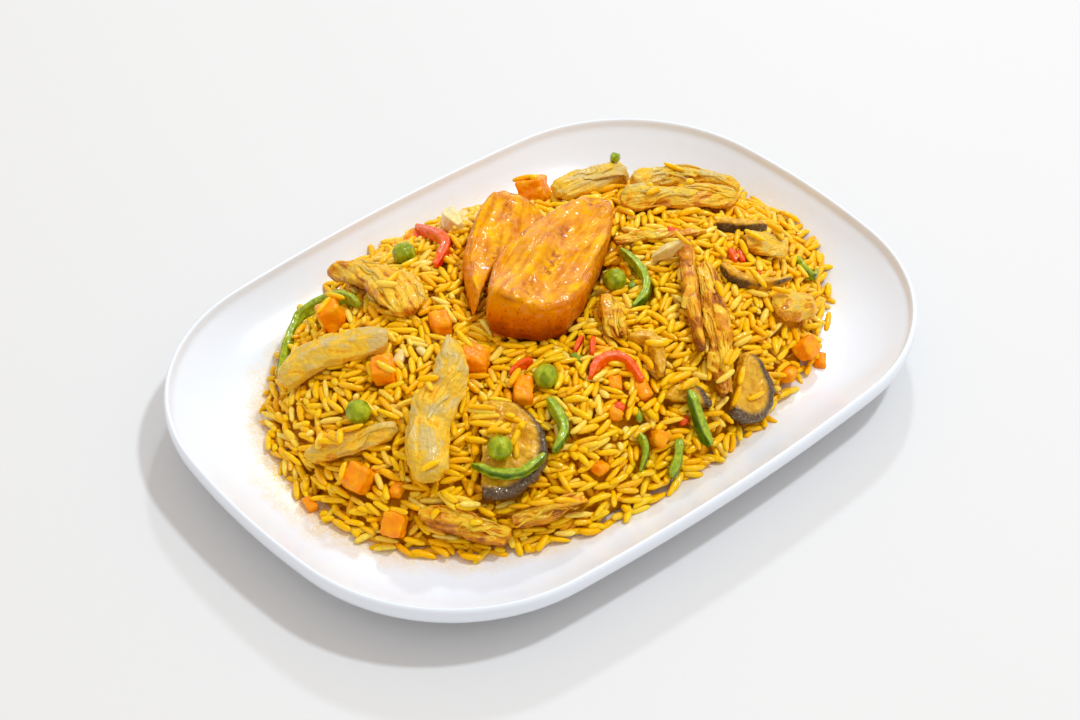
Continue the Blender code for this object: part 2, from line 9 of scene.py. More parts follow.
import bmesh
import bpy
import numpy as np
from mathutils import Euler, Matrix, Vector, noise
from mathutils.bvhtree import BVHTree


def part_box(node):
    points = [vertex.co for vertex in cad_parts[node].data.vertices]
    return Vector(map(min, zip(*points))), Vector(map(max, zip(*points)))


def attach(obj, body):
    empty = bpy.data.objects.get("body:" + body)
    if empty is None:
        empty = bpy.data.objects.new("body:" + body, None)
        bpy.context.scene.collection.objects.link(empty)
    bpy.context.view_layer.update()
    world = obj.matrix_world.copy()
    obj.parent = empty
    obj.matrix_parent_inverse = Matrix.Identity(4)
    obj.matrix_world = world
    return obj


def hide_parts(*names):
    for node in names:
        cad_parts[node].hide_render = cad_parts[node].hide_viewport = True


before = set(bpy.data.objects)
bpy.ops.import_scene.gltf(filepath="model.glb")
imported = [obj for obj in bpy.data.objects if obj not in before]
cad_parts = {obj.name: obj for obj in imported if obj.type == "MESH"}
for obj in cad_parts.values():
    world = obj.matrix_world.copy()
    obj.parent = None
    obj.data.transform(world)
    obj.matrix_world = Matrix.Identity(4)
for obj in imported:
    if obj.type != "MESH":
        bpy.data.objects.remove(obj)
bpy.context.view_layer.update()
MM = 0.001

# ------------------------------------------------------------------------------ platter
# An oblong coupe platter of white porcelain: a flat floor, a wall that sweeps up to a plain
# rounded rim, and a foot ring below. It is pressed in one piece and glazed all over. Round the
# rice the glaze is painted yellow: partly a thin film of oil, and partly a painted reflection of
# the rice.

SIDE_RADIUS = 900 * MM
END_RADIUS = 310 * MM
CORNER_RADIUS = 75 * MM
FLOOR_HEIGHT = 6 * MM
WALL_RUN = 34 * MM
WALL_POWER = 2.2
PORCELAIN = 4 * MM  # thickness of the wall
FOOT_INSET = 40 * MM
FOOT_WIDTH = 4 * MM
FOOT_HEIGHT = 1.6 * MM
LIP = ((0.0, -1.8), (0.12, -1.1), (0.45, -0.5), (0.9, -0.1), (1.4, 0.0), (1.85, -0.45),
       (2.2, -1.3), (2.6, -2.6), (3.3, -3.75))  # inset and drop from the rim's top, in mm
WALL_INSETS = np.linspace(4.4, 34, 17) * MM
OUTSIDE_INSETS = np.linspace(3.4, 33, 15) * MM
FLOOR_INSET = 38 * MM
RIM_UNDERSIDE = 19.4 * MM
FOOT_ROUNDING = 0.5 * MM
OUTLINE_STEPS = (8, 22, 14)  # facets of a quarter's end, corner and side

MOUND_MIDDLE = (6.5 * MM, 5.5 * MM)
MOUND_REACH = (123 * MM, 87 * MM)
MOUND_POWER = 2.12  # 2 is an ellipse, and more is squarer


def tint(red, green, blue):
    """A display colour, 0 to 255, as the linear colour that a shader takes."""
    shares = [c / 255 for c in (red, green, blue)]
    return [c / 12.92 if c < 0.04 else ((c + 0.055) / 1.055) ** 2.4 for c in shares] + [1]


class Paint:
    """A material in the making: its Principled shader, and the nodes that feed it."""

    def __init__(self, name, **fixed):
        self.look = bpy.data.materials.new(name)
        self.look.use_nodes = True
        self.nodes = self.look.node_tree.nodes
        self.shader = self.nodes["Principled BSDF"]
        self.here = self.nodes.new("ShaderNodeTexCoord").outputs["Object"]
        for socket, value in fixed.items():
            self.shader.inputs[socket.replace("_", " ")].default_value = value

    def feed(self, socket, value):
        """Link another node to a socket, or set the socket to a number or colour."""
        if isinstance(value, bpy.types.NodeSocket):
            self.look.node_tree.links.new(value, socket)
        else:
            socket.default_value = value

    def node(self, kind, inputs, **settings):
        made = self.nodes.new("ShaderNode" + kind)
        for name, value in settings.items():
            setattr(made, name, value)
        for place, value in inputs.items():
            self.feed(made.inputs[place], value)
        return made

    def mark(self, name):
        """A mark that the piece's own mesh carries."""
        return self.node("Attribute", {}, attribute_name=name).outputs["Fac"]

    def clouds(self, size, detail, stretch=(1, 1, 1), roughness=0.5):
        """Soft noise whose blobs are about size across."""
        place = self.here
        if stretch != (1, 1, 1):
            place = self.node("Mapping", {"Vector": place, "Scale": stretch}).outputs[0]
        made = self.node("TexNoise", {"Vector": place, "Scale": 1 / size, "Detail": detail,
                                      "Roughness": roughness})
        return made.outputs[0]

    def ramp(self, amount, *stops):
        """A colour, or a grey, that follows amount through stops of (place, colour)."""
        made = self.node("ValToRGB", {"Fac": amount})
        while len(made.color_ramp.elements) < len(stops):
            made.color_ramp.elements.new(1)
        for element, (place, colour) in zip(made.color_ramp.elements, stops):
            element.position = place
            element.color = colour if hasattr(colour, "__len__") else [colour] * 3 + [1]
        return made.outputs[0]

    def mix(self, amount, first, second):
        """From the first colour to the second as amount goes from 0 to 1."""
        made = self.node("Mix", {0: amount, 6: first, 7: second}, data_type="RGBA")
        return made.outputs[2]

    def calc(self, operation, first, second=0.0, clamp=False):
        made = self.node("Math", {0: first, 1: second}, operation=operation, use_clamp=clamp)
        return made.outputs[0]

    def bumps(self, size, depth, under=None):
        """Even soft bumps about size across."""
        return self.relief(self.clouds(size, 0.5, roughness=0.4), depth, under)

    def relief(self, height, depth, under=None):
        """Bumps of a height pattern that is depth deep from black to white."""
        inputs = {"Height": height, "Distance": depth, "Strength": 1.0}
        if under:
            inputs["Normal"] = under
        return self.node("Bump", inputs).outputs[0]

    def patches(self, size, detail, *stops, **more):
        """A ramp over soft noise: patches about size across."""
        return self.ramp(self.clouds(size, detail, **more), *stops)

    def times(self, first, second, clamp=False):
        return self.calc("MULTIPLY", first, second, clamp)

    def plus(self, first, second, clamp=False):
        return self.calc("ADD", first, second, clamp)

    def finish(self, **inputs):
        """Feed the shader. A relief shapes the wet coat over it too."""
        if "Normal" in inputs:
            inputs["Coat_Normal"] = inputs["Normal"]
        for socket, value in inputs.items():
            self.feed(self.shader.inputs[socket.replace("_", " ")], value)
        return self.look


def serve(name, mesh, look, slot, *nodes):
    """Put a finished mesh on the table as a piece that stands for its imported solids."""
    mesh.shade_smooth()
    mesh.materials.append(look)
    piece = bpy.data.objects.new(name, mesh)
    bpy.context.scene.collection.objects.link(piece)
    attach(piece, "root")
    if nodes:
        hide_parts(*nodes)
    return piece


def to_mesh(name, bm):
    mesh = bpy.data.meshes.new(name)
    bm.to_mesh(mesh)
    bm.free()
    return mesh


platter_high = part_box("platter")[1]
side_middle = Vector((0, platter_high.y - SIDE_RADIUS))
end_middle = Vector((platter_high.x - END_RADIUS, 0))


def corner_middle():
    """Where a corner's arc is tangent to both the side's arc and the end's arc."""
    to_side, to_end = SIDE_RADIUS - CORNER_RADIUS, END_RADIUS - CORNER_RADIUS
    apart = (end_middle - side_middle).length
    along = (to_side ** 2 - to_end ** 2 + apart ** 2) / (2 * apart)
    ahead = (end_middle - side_middle) / apart
    across = Vector((ahead.y, -ahead.x)) * math.sqrt(to_side ** 2 - along ** 2)
    return side_middle + ahead * along + across


def outline_points():
    """The platter's outer edge, all the way round."""
    corner = corner_middle()
    first = math.atan2(corner.y, corner.x - end_middle.x)
    last = math.atan2(corner.y - side_middle.y, corner.x)
    limits = (0, first, last, math.pi / 2)
    middles = ((end_middle, END_RADIUS), (corner, CORNER_RADIUS), (side_middle, SIDE_RADIUS))
    quarter = []
    for (middle, radius), start, stop, steps in zip(middles, limits, limits[1:], OUTLINE_STEPS):
        for k in range(steps):
            turn = start + (stop - start) * k / steps
            quarter.append(middle + Vector((math.cos(turn), math.sin(turn))) * radius)
    top = Vector((0, platter_high.y))
    half = quarter + [top] + [Vector((-p.x, p.y)) for p in reversed(quarter[1:])]
    return half + [-p for p in half]


def wall_height(inset):
    rise = max(0.0, (WALL_RUN - inset) / WALL_RUN)
    return FLOOR_HEIGHT + (platter_high.z - FLOOR_HEIGHT) * rise ** WALL_POWER


def platter_profiles():
    """(inset, height) from the outer edge in over the top, and in underneath."""
    above = [(inset * MM, platter_high.z + drop * MM) for inset, drop in LIP]
    above += [(inset, wall_height(inset)) for inset in WALL_INSETS]
    above += [(FLOOR_INSET, FLOOR_HEIGHT)]
    below = [(0.0, RIM_UNDERSIDE)]
    for inset in OUTSIDE_INSETS:
        slope = (wall_height(inset - MM) - wall_height(inset)) / MM
        slant = math.hypot(1, slope)
        below.append((inset - PORCELAIN * slope / slant, wall_height(inset) - PORCELAIN / slant))
    below += [(FOOT_INSET - FOOT_ROUNDING, 1.8 * MM), (FOOT_INSET, 1.2 * MM),
              (FOOT_INSET + FOOT_ROUNDING, 0.0), (FOOT_INSET + FOOT_WIDTH, 0.0),
              (FOOT_INSET + FOOT_WIDTH + 0.6 * MM, FOOT_HEIGHT)]
    return above, below


def fire_platter():
    bm = bmesh.new()
    edge = outline_points()
    above, below = platter_profiles()
    bmesh.ops.create_circle(bm, cap_ends=True, segments=len(edge), radius=1)
    for vert, point in zip(bm.verts, edge):
        vert.co = (point.x, point.y, above[0][1])
    top = bm.faces[:][0]
    made = bmesh.ops.extrude_face_region(bm, geom=[top], use_keep_orig=True)["geom"]
    bottom = next(part for part in made if isinstance(part, bmesh.types.BMFace))
    drop = below[0][1] - above[0][1]
    bmesh.ops.translate(bm, vec=(0, 0, drop), verts=bottom.verts[:])
    bmesh.ops.recalc_face_normals(bm, faces=bm.faces)
    for face, profile, up in ((top, above, 1), (bottom, below, -1)):
        for (inset, height), (next_inset, next_height) in zip(profile, profile[1:]):
            bmesh.ops.inset_region(bm, faces=[face], thickness=next_inset - inset,
                                   depth=(next_height - height) * up, use_even_offset=True)
    bmesh.ops.recalc_face_normals(bm, faces=bm.faces)
    return to_mesh("porcelain_platter", bm)


def paint_glaze():
    paint = Paint("white_glaze", Roughness=0.28, IOR=1.5, Coat_Weight=0.3, Coat_Roughness=0.12)
    split = paint.node("SeparateXYZ", {"Vector": paint.here})
    out = []
    for axis in range(2):
        off = paint.calc("SUBTRACT", split.outputs[axis], MOUND_MIDDLE[axis])
        share = paint.calc("ABSOLUTE", paint.calc("DIVIDE", off, MOUND_REACH[axis]))
        out.append(paint.calc("POWER", share, MOUND_POWER))
    reach = paint.calc("POWER", paint.plus(*out), 1 / MOUND_POWER)
    ragged = paint.times(paint.calc("SUBTRACT", paint.clouds(7 * MM, 5), 0.5), 0.12)
    away = paint.times(paint.plus(reach, ragged), 0.5)
    edge = paint.ramp(away, (0.485, 1), (0.51, 0.6), (0.55, 0))
    left = paint.node("MapRange", {"Value": split.outputs[0], "From Min": -0.02, "From Max": -0.08,
                                   "To Min": 0.35, "To Max": 0.95}).outputs[0]
    speckle = paint.patches(1.2 * MM, 3, (0.42, 0.3), (0.60, 1), roughness=0.75)
    # Yellow round the rice's foot, strongest on the left: partly oil, partly a painted reflection
    # of the rice.
    oil_film_and_reflection = paint.times(paint.times(edge, left), speckle, clamp=True)
    white = paint.patches(60 * MM, 2, (0.3, tint(234, 241, 251)), (0.7, tint(237, 244, 253)))
    colour = paint.mix(oil_film_and_reflection, white, tint(244, 196, 40))
    ripple = paint.bumps(16 * MM, 0.05 * MM)
    return paint.finish(Base_Color=colour, Normal=ripple)


serve("porcelain_platter", fire_platter(), paint_glaze(), "glaze", "platter")

# --------------------------------------------------------------------------------- rice
# Cooked long-grain rice, yellow and wet with stock and oil, heaped on the platter. The grains lie
# as they fell, a few deep, round what is laid on them, over a core that nobody sees.

CELL = 0.5  # the heap is surveyed in squares of this size, in mm, as are all heights here
MARGIN = 7
GRAIN_LENGTH, GRAIN_WIDTH, GRAIN_THICKNESS = 9.2, 2.75, 2.3
SHORTEST, LONGEST, THINNEST, FATTEST = 7.0, 11.0, 2.1, 3.2
SNAPPED = 0.10  # share of grains that are broken
SNAPPED_LENGTH = 6.5  # a shorter grain than this gets a snapped shape
WHOLE_SHAPES, SNAPPED_SHAPES = range(7), (7, 8)
LAYER = 4.6  # depth of loose grains over the core
SKIN_GAP = 0.8  # how far the core's side lies behind the loose grains
CREST = 1.2  # how far the topmost grains stand over the mound
NESTLE = 0.75  # how far a grain beds into those below it
LIFT = 0.3  # how far scraps lie over the mound
YAWS = 5  # directions tried for each grain
LOWEST_LAY = 0.6  # share of grains that lie in the lowest of these
SLOPES = np.linspace(-1.0, 1.0, 13)
FILLING = (2.8, 2.2, 1.8, 1.5, 1.3, 1.1, 0.9, 0.7, 0.55)  # hollows filled, deep ones first
HIGHEST = 70  # no loose grain lies above this
OUT_OF_REACH = 99.0  # the height given to places where no grain may lie
CLEAN = ("pea", "green", "plantain", "red")  # pieces that no loose grain lies on
LOOSE_GRAINS = (  # middle, reach and number of the grains that lie on larger pieces
    (-58, -36, 11, 34), (-62, -12, 6, 2), (-84, -33, 5, 2), (-95, 2, 11, 8), (-86, -47, 11, 9),
    (-57, -64, 11, 10), (12, -63, 9, 9), (41, -64, 11, 9), (98, -21, 9, 5), (85, -50, 9, 4),
    (85, 18, 14, 6), (56, -36, 9, 2), (-5, -38, 8, 5), (75, -30, 12, 5), (100, 30, 14, 4),
    (14, -44, 6, 3), (-38, 42, 7, 2), (0, 62, 7, 4), (55, -8, 6, 3),
)

TOPPINGS = sorted(set(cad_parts) - {"platter", "rice"})
rice_low, rice_high = (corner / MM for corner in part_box("rice"))
grid_x = np.arange(rice_low.x - MARGIN, rice_high.x + MARGIN, CELL)
grid_y = np.arange(rice_low.y - MARGIN, rice_high.y + MARGIN, CELL)


def tree_of(node):
    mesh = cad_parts[node].data
    return BVHTree.FromPolygons([v.co / MM for v in mesh.vertices],
                                [p.vertices for p in mesh.polygons])


def survey(tree, node, upwards=False):
    """Heights of a solid's upper side, or of its underside, over the grid, and nan beside it."""
    heights = np.full((len(grid_x), len(grid_y)), np.nan)
    low, high = (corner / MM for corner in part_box(node))
    start, way = (-100, Vector((0, 0, 1))) if upwards else (200, Vector((0, 0, -1)))
    for i in range(*np.searchsorted(grid_x, (low.x, high.x))):
        for j in range(*np.searchsorted(grid_y, (low.y, high.y))):
            spot = tree.ray_cast(Vector((grid_x[i], grid_y[j], start)), way)[0]
            if spot:
                heights[i, j] = spot.z
    return heights


def soften(field, rounds):
    """Average each square with its neighbours, over and over."""
    for _ in range(rounds):
        for axis in (0, 1):
            padded = np.concatenate((field.take([0], axis), field, field.take([-1], axis)), axis)
            ahead = padded.take(range(2, padded.shape[axis]), axis)
            behind = padded.take(range(padded.shape[axis] - 2), axis)
            field = (ahead + behind + field) / 3
    return field


trees = {node: tree_of(node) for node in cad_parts}
bed = survey(trees["platter"], "platter")
bed = np.where(np.isnan(bed), OUT_OF_REACH, bed)
rice_top = survey(trees["rice"], "rice")
lids = np.full(bed.shape, np.nan)
unders = np.full(bed.shape, np.nan)
bare = np.zeros(bed.shape, bool)
for node in TOPPINGS:
    lid = survey(trees[node], node)
    lids = np.fmax(lids, lid)
    if node.startswith(CLEAN):
        bare |= ~np.isnan(lid)
    unders = np.fmin(unders, survey(trees[node], node, upwards=True))
covered = ~np.isnan(lids)
heaped = ~np.isnan(rice_top)

# the mound's own height, carried on smoothly below what lies on it
known = np.where(covered, 0.0, 1.0)
mound = soften(np.where(heaped, rice_top, bed) * known, 40) / np.maximum(soften(known, 40), 1e-3)
mound = np.maximum(mound, bed)
mound = np.where(soften(known, 40) < 0.02, np.where(covered, unders, mound), mound)


def at(field, x, y):
    """A field's value over a point, in mm."""
    i = min(max(int((x - grid_x[0]) / CELL), 0), len(grid_x) - 1)
    j = min(max(int((y - grid_y[0]) / CELL), 0), len(grid_y) - 1)
    return field[i, j]


# what lies among the grains: place, length, width and depth in mm, turn in degrees
SCRAPS = {
    "green": ((36, -9, 5, 3, 3, 20), (-8, -28, 8, 3, 3, 100), (-6, -58, 6, 2.5, 2.5, 60),
              (60, 8, 5, 3, 2.5, 10)),
    "red": ((78, -31, 9, 3, 3, 150), (83, -21, 7, 2.5, 2.5, 60), (-11, -53, 5, 4, 3, 30),
            (9, -66, 5, 3.5, 3, 80), (70, 4, 6, 3, 2.5, 120), (95, -44, 5, 2.5, 2.5, 80),
            (-2, 78, 8, 4, 3, 20)),
    "carrot": ((-93, -24, 6, 5, 4, 25), (-14, -54, 6, 5, 4, 60), (-31, -65, 6, 5, 4, 10),
               (66, -66, 7, 6, 5, 35), (1.5, -52, 8, 6, 4, 70), (-114, 2, 7, 4, 3, 80),
               (48, -47, 7, 6, 5, 20), (-6, -45, 7, 5, 4, 50), (103, 8, 7, 6, 5, 40),
               (0, 82, 8, 6, 5, 15), (-22, 3, 7, 6, 4, 65), (84, -66, 7, 5, 4, 45)),
    "onion": ((-57, 19, 7, 4, 2.5, 30), (20, 74, 8, 5, 2.5, 70), (15, 67, 7, 5, 2.5, 20),
              (22, 66, 6, 4, 2.5, 120), (58, -16, 6, 4, 2.5, 140), (-50, 14, 5, 3, 2.5, 80)),
}


class Heap:
    """Loose grains, dropped one by one where the heap is still too low."""

    def __init__(self, heights, spread):
        self.heights = heights
        self.spread = spread
        self.grains = []

    def window(self, x, y, yaw, length, width):
        """The squares under a grain, with their places along and across it."""
        half = length / 2
        i0, i1 = np.searchsorted(grid_x, (x - half, x + half))
        j0, j1 = np.searchsorted(grid_y, (y - half, y + half))
        along_x, along_y = grid_x[i0:i1, None] - x, grid_y[None, j0:j1] - y
        s = along_x * math.cos(yaw) + along_y * math.sin(yaw)
        t = -along_x * math.sin(yaw) + along_y * math.cos(yaw)
        round_off = 1 - np.abs(2 * s / length) ** 2.4 - (2 * t / width) ** 2
        i, j = np.nonzero(round_off > 0)
        return i + i0, j + j0, s[i, j], np.sqrt(round_off[i, j])

    def rest(self, x, y, yaw, size):
        """The lowest height and the slope at which a grain lies still there."""
        i, j, s, thick = self.window(x, y, yaw, size[0], size[1])
        if not len(i):
            return None
        lower = thick * size[2] / 2
        lift = (self.heights[i, j] + lower)[None, :] - SLOPES[:, None] * s[None, :]
        levels = lift.max(1)
        best = int(np.argmin(levels + 0.1 * np.abs(SLOPES)))
        slope = SLOPES[best] + self.spread.gauss(0, 0.06)
        level = float((self.heights[i, j] + lower - slope * s).max()) - NESTLE
        return level, slope, (i, j, s, lower)

    def drop(self, x, y, size, ceiling):
        """Lay one grain the way it lies lowest, if it stays under the ceiling."""
        tries = []
        first = self.spread.uniform(0, math.pi)
        for k in range(YAWS):
            yaw = first + math.pi * k / YAWS
            found = self.rest(x, y, yaw, size)
            if found:
                tries.append((found[0] + abs(found[1]) * size[0] * 0.2, yaw, found))
        if not tries:
            return False
        tries.sort(key=lambda row: row[0])
        lowest = self.spread.random() < LOWEST_LAY
        pick = 0 if lowest else self.spread.randrange(min(len(tries), 4))
        _, yaw, (level, slope, (i, j, s, lower)) = tries[pick]
        peak = level + abs(slope) * size[0] * 0.35 + size[2] * 0.4
        if peak > ceiling:
            return False
        self.heights[i, j] = np.maximum(self.heights[i, j], level + slope * s + lower)
        self.grains.append((x, y, level, yaw, slope, *size))
        return True


def grain_size(spread):
    length = min(max(spread.gauss(GRAIN_LENGTH, 0.8), SHORTEST), LONGEST)
    if spread.random() < SNAPPED:
        length *= spread.uniform(0.45, 0.7)
    width = min(max(spread.gauss(GRAIN_WIDTH, 0.22), THINNEST), FATTEST)
    return length, width, width * GRAIN_THICKNESS / GRAIN_WIDTH


def heap_up():
    """Fill from the core up to the mound with grains, as they would fall."""
    spread = random.Random(7)
    ceiling = mound + CREST
    overhang = covered & (unders > mound + 1.0)
    ceiling = np.where(overhang, np.minimum(ceiling, unders - 0.2), ceiling)
    solid = covered & ~overhang
    floor = np.where(solid, lids, np.maximum(bed, mound - LAYER))
    heap = Heap(floor.copy(), spread)
    room = heaped & ~solid
    for x, y, length, width, deep, turn in sum(SCRAPS.values(), ()):
        i, j, _, thick = heap.window(x, y, math.radians(turn), length, width)
        heap.heights[i, j] = at(mound, x, y) + LIFT + deep / 2 * thick
    for threshold in FILLING:
        low = np.argwhere(room & (ceiling - heap.heights > threshold))
        order = list(range(len(low)))
        spread.shuffle(order)
        tried = np.zeros(room.shape, bool)
        for k in order:
            i, j = low[k]
            if tried[i, j] or ceiling[i, j] - heap.heights[i, j] <= threshold:
                continue
            heap.drop(grid_x[i], grid_y[j], grain_size(spread), ceiling[i, j] + 1.1)
            tried[max(i - 2, 0):i + 3, max(j - 2, 0):j + 3] = True
    beside = room & (soften(solid.astype(float), 12) > 0.02) & (ceiling - heap.heights > 1.2)
    for i, j in spread.sample(np.argwhere(beside).tolist(), int(beside.sum() * 0.3)):
        if ceiling[i, j] - heap.heights[i, j] > 1.2:
            heap.drop(grid_x[i], grid_y[j], grain_size(spread), ceiling[i, j] + 3.0)
    return heap


def pod(sides, rings):
    """A smooth pod lying along x from -1 to 1, as its points and faces."""
    bm = bmesh.new()
    bmesh.ops.create_uvsphere(bm, u_segments=sides, v_segments=rings, radius=1,
                              matrix=Matrix.Rotation(math.pi / 2, 4, "Y"))
    points = np.array([vert.co for vert in bm.verts])
    faces = [[vert.index for vert in face.verts] for face in bm.faces]
    bm.free()
    return points, faces


def grain_shapes(spread):
    """A handful of grains: whole ones, a little bent or tapered, and snapped ones."""
    shapes = []
    for k in (*WHOLE_SHAPES, *SNAPPED_SHAPES):
        points, faces = pod(sides=7, rings=7)
        x, around = points[:, 0].copy(), points[:, 1:].copy()
        girth = np.sqrt(np.maximum(1 - x ** 2, 1e-9))
        x = np.sign(x) * np.abs(x) ** 0.85
        fuller = np.maximum(1 - np.abs(x) ** 3.0, 0) ** 0.5
        around *= (fuller / np.maximum(girth, 1e-3))[:, None]
        around[:, 0] *= 1 - spread.uniform(0.02, 0.16) * x
        around[:, 0] += spread.uniform(-0.5, 0.5) * (x * x - 0.3)
        around[:, 1] += spread.uniform(-0.2, 0.1) * (x * x - 0.3)
        if k in SNAPPED_SHAPES:
            x = np.where(x > 0.45, 0.45 + (x - 0.45) * 0.3, x)
        shapes.append((np.column_stack((x, around)), faces))
    return shapes


def strew(name, rows, marks):
    """Join many small things in one mesh. A row holds a thing's points, faces and marks."""
    points, faces, values = [], [], [[] for _ in marks]
    count = 0
    for thing, sides, thing_marks in rows:
        points.append(thing)
        faces.extend([corner + count for corner in side] for side in sides)
        for value, column in zip(thing_marks, values):
            column.append(np.broadcast_to(value, len(thing)))
        count += len(thing)
    mesh = bpy.data.meshes.new(name)
    mesh.from_pydata(np.concatenate(points) * MM, [], faces)
    for mark, column in zip(marks, values):
        stored = mesh.attributes.new(mark, "FLOAT", "POINT")
        stored.data.foreach_set("value", np.concatenate(column).astype(np.float32))
    return mesh


def grain_rows(grains, spread):
    rows = []
    for x, y, z, yaw, slope, length, width, thick in grains:
        along = Vector((math.cos(yaw), math.sin(yaw), slope)).normalized()
        side = Vector((-math.sin(yaw), math.cos(yaw), 0))
        roll = spread.uniform(-0.5, 0.5)
        up = along.cross(side)
        side, up = (side * math.cos(roll) + up * math.sin(roll),
                    up * math.cos(roll) - side * math.sin(roll))
        if spread.random() < 0.5:
            along, side = -along, -side
        depth = max(0.0, min((at(mound, x, y) - z) / LAYER, 1.0))
        snapped = length < SNAPPED_LENGTH
        template, faces = GRAINS[spread.choice(SNAPPED_SHAPES if snapped else WHOLE_SHAPES)]
        axes = np.array((along * length / 2, side * width / 2, up * thick / 2))
        rows.append((template @ axes + np.array((x, y, z)), faces, (spread.random(), depth)))
    return rows


def merged(node, name):
    """A solid's own mesh with its loose triangles joined."""
    bm = bmesh.new()
    bm.from_mesh(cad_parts[node].data)
    bmesh.ops.remove_doubles(bm, verts=bm.verts, dist=1e-6)
    bmesh.ops.recalc_face_normals(bm, faces=bm.faces)
    return to_mesh(name, bm)


def rice_core():
    """The heap's inside: its packed form, drawn in below the loose grains."""
    mesh = merged("rice", "rice_core")
    for vert in mesh.vertices:
        place = vert.co / MM
        out = Vector((place.x, place.y)) - Vector(MOUND_MIDDLE) / MM
        out *= max(1 - (LAYER + SKIN_GAP) / max(out.length, 1), 0)
        if vert.normal.z > 0:
            place.z = max(place.z - LAYER + SKIN_GAP, FLOOR_HEIGHT / MM + 0.5)
        vert.co = Vector((*(out + Vector(MOUND_MIDDLE) / MM), place.z + 0.1)) * MM
    return mesh


def paint_rice(name, dark):
    paint = Paint(name, IOR=1.45, Coat_Roughness=0.15, Specular_Tint=(1.0, 0.7, 0.2, 1),
                  Subsurface_Scale=1.6 * MM, Subsurface_Radius=(1.0, 0.55, 0.12))
    if dark:
        # Painted shade: the core shows only in the gaps between grains, so it is a deeper orange
        # than they are.
        colour = paint.patches(4 * MM, 4, (0.3, tint(238, 150, 0)), (0.7, tint(252, 186, 0)))
        return paint.finish(Base_Color=colour, Roughness=0.5)
    tone = paint.mark("tone")
    colour = paint.ramp(tone, (0.0, tint(252, 180, 0)), (0.35, tint(255, 199, 0)),
                        (0.75, tint(255, 215, 26)), (1.0, tint(255, 236, 120)))
    wash = paint.patches(38 * MM, 2, (0.35, 0.0), (0.7, 0.5))
    colour = paint.mix(wash, colour, tint(255, 194, 0))
    mottle = paint.patches(1.6 * MM, 3, (0.35, 0.0), (0.72, 0.4))
    colour = paint.mix(mottle, colour, tint(250, 176, 0))
    # Painted shade: grains that lie deeper in the heap are painted a deeper orange.
    deep = paint.ramp(paint.mark("depth"), (0.3, 0.0), (0.95, 0.6))
    colour = paint.mix(deep, colour, tint(248, 168, 0))
    rough = paint.patches(2.5 * MM, 2, (0.3, 0.2), (0.7, 0.38))
    dents = paint.bumps(1.3 * MM, 0.25 * MM)
    wet = paint.patches(3.5 * MM, 3, (0.47, 0.0), (0.62, 0.7))
    return paint.finish(Base_Color=colour, Roughness=rough, Subsurface_Weight=0.3, Normal=dents,
                        Coat_Weight=wet)


def sprinkle(heap):
    """Drop a few loose grains where they lie over the edges of what is laid on the heap."""
    spread = random.Random(21)
    heap.heights = np.fmax(heap.heights, np.where(bare, OUT_OF_REACH, lids))
    spots = list(LOOSE_GRAINS)
    for node in TOPPINGS:
        if node.startswith("carrot"):
            middle = (Vector(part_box(node)[0]) + Vector(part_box(node)[1])) / 2 / MM
            spots.append((middle.x, middle.y, 6, 2))
    for x, y, reach, count in spots:
        for _ in range(count):
            out, way = reach * math.sqrt(spread.random()), spread.uniform(0, 2 * math.pi)
            place = (x + out * math.cos(way), y + out * math.sin(way))
            ceiling = min(at(heap.heights, *place) + 3.4, HIGHEST)
            heap.drop(*place, grain_size(spread), ceiling)


heap = heap_up()
sprinkle(heap)
grain_dice = random.Random(11)
GRAINS = grain_shapes(grain_dice)
rice_look = paint_rice("yellow_rice", False)
rows = grain_rows(heap.grains, grain_dice)
rows.sort(key=lambda row: row[0][0] @ (0.65, -0.75, 0))
half = len(rows) // 2
for name, part in (("rice_grains_back", rows[:half]), ("rice_grains_front", rows[half:])):
    serve(name, strew(name, part, ("tone", "depth")), rice_look, "rice", "rice")
serve("rice_core", rice_core(), paint_rice("rice_core", True), "rice", "rice")

# ------------------------------------------------------------------------------ chicken
# Torn pieces of stewed chicken breast and thigh, laid on the rice. Each keeps its packed form;
# its muscle bundles and fibres run along it, and loose threads of meat lie on the torn ones.


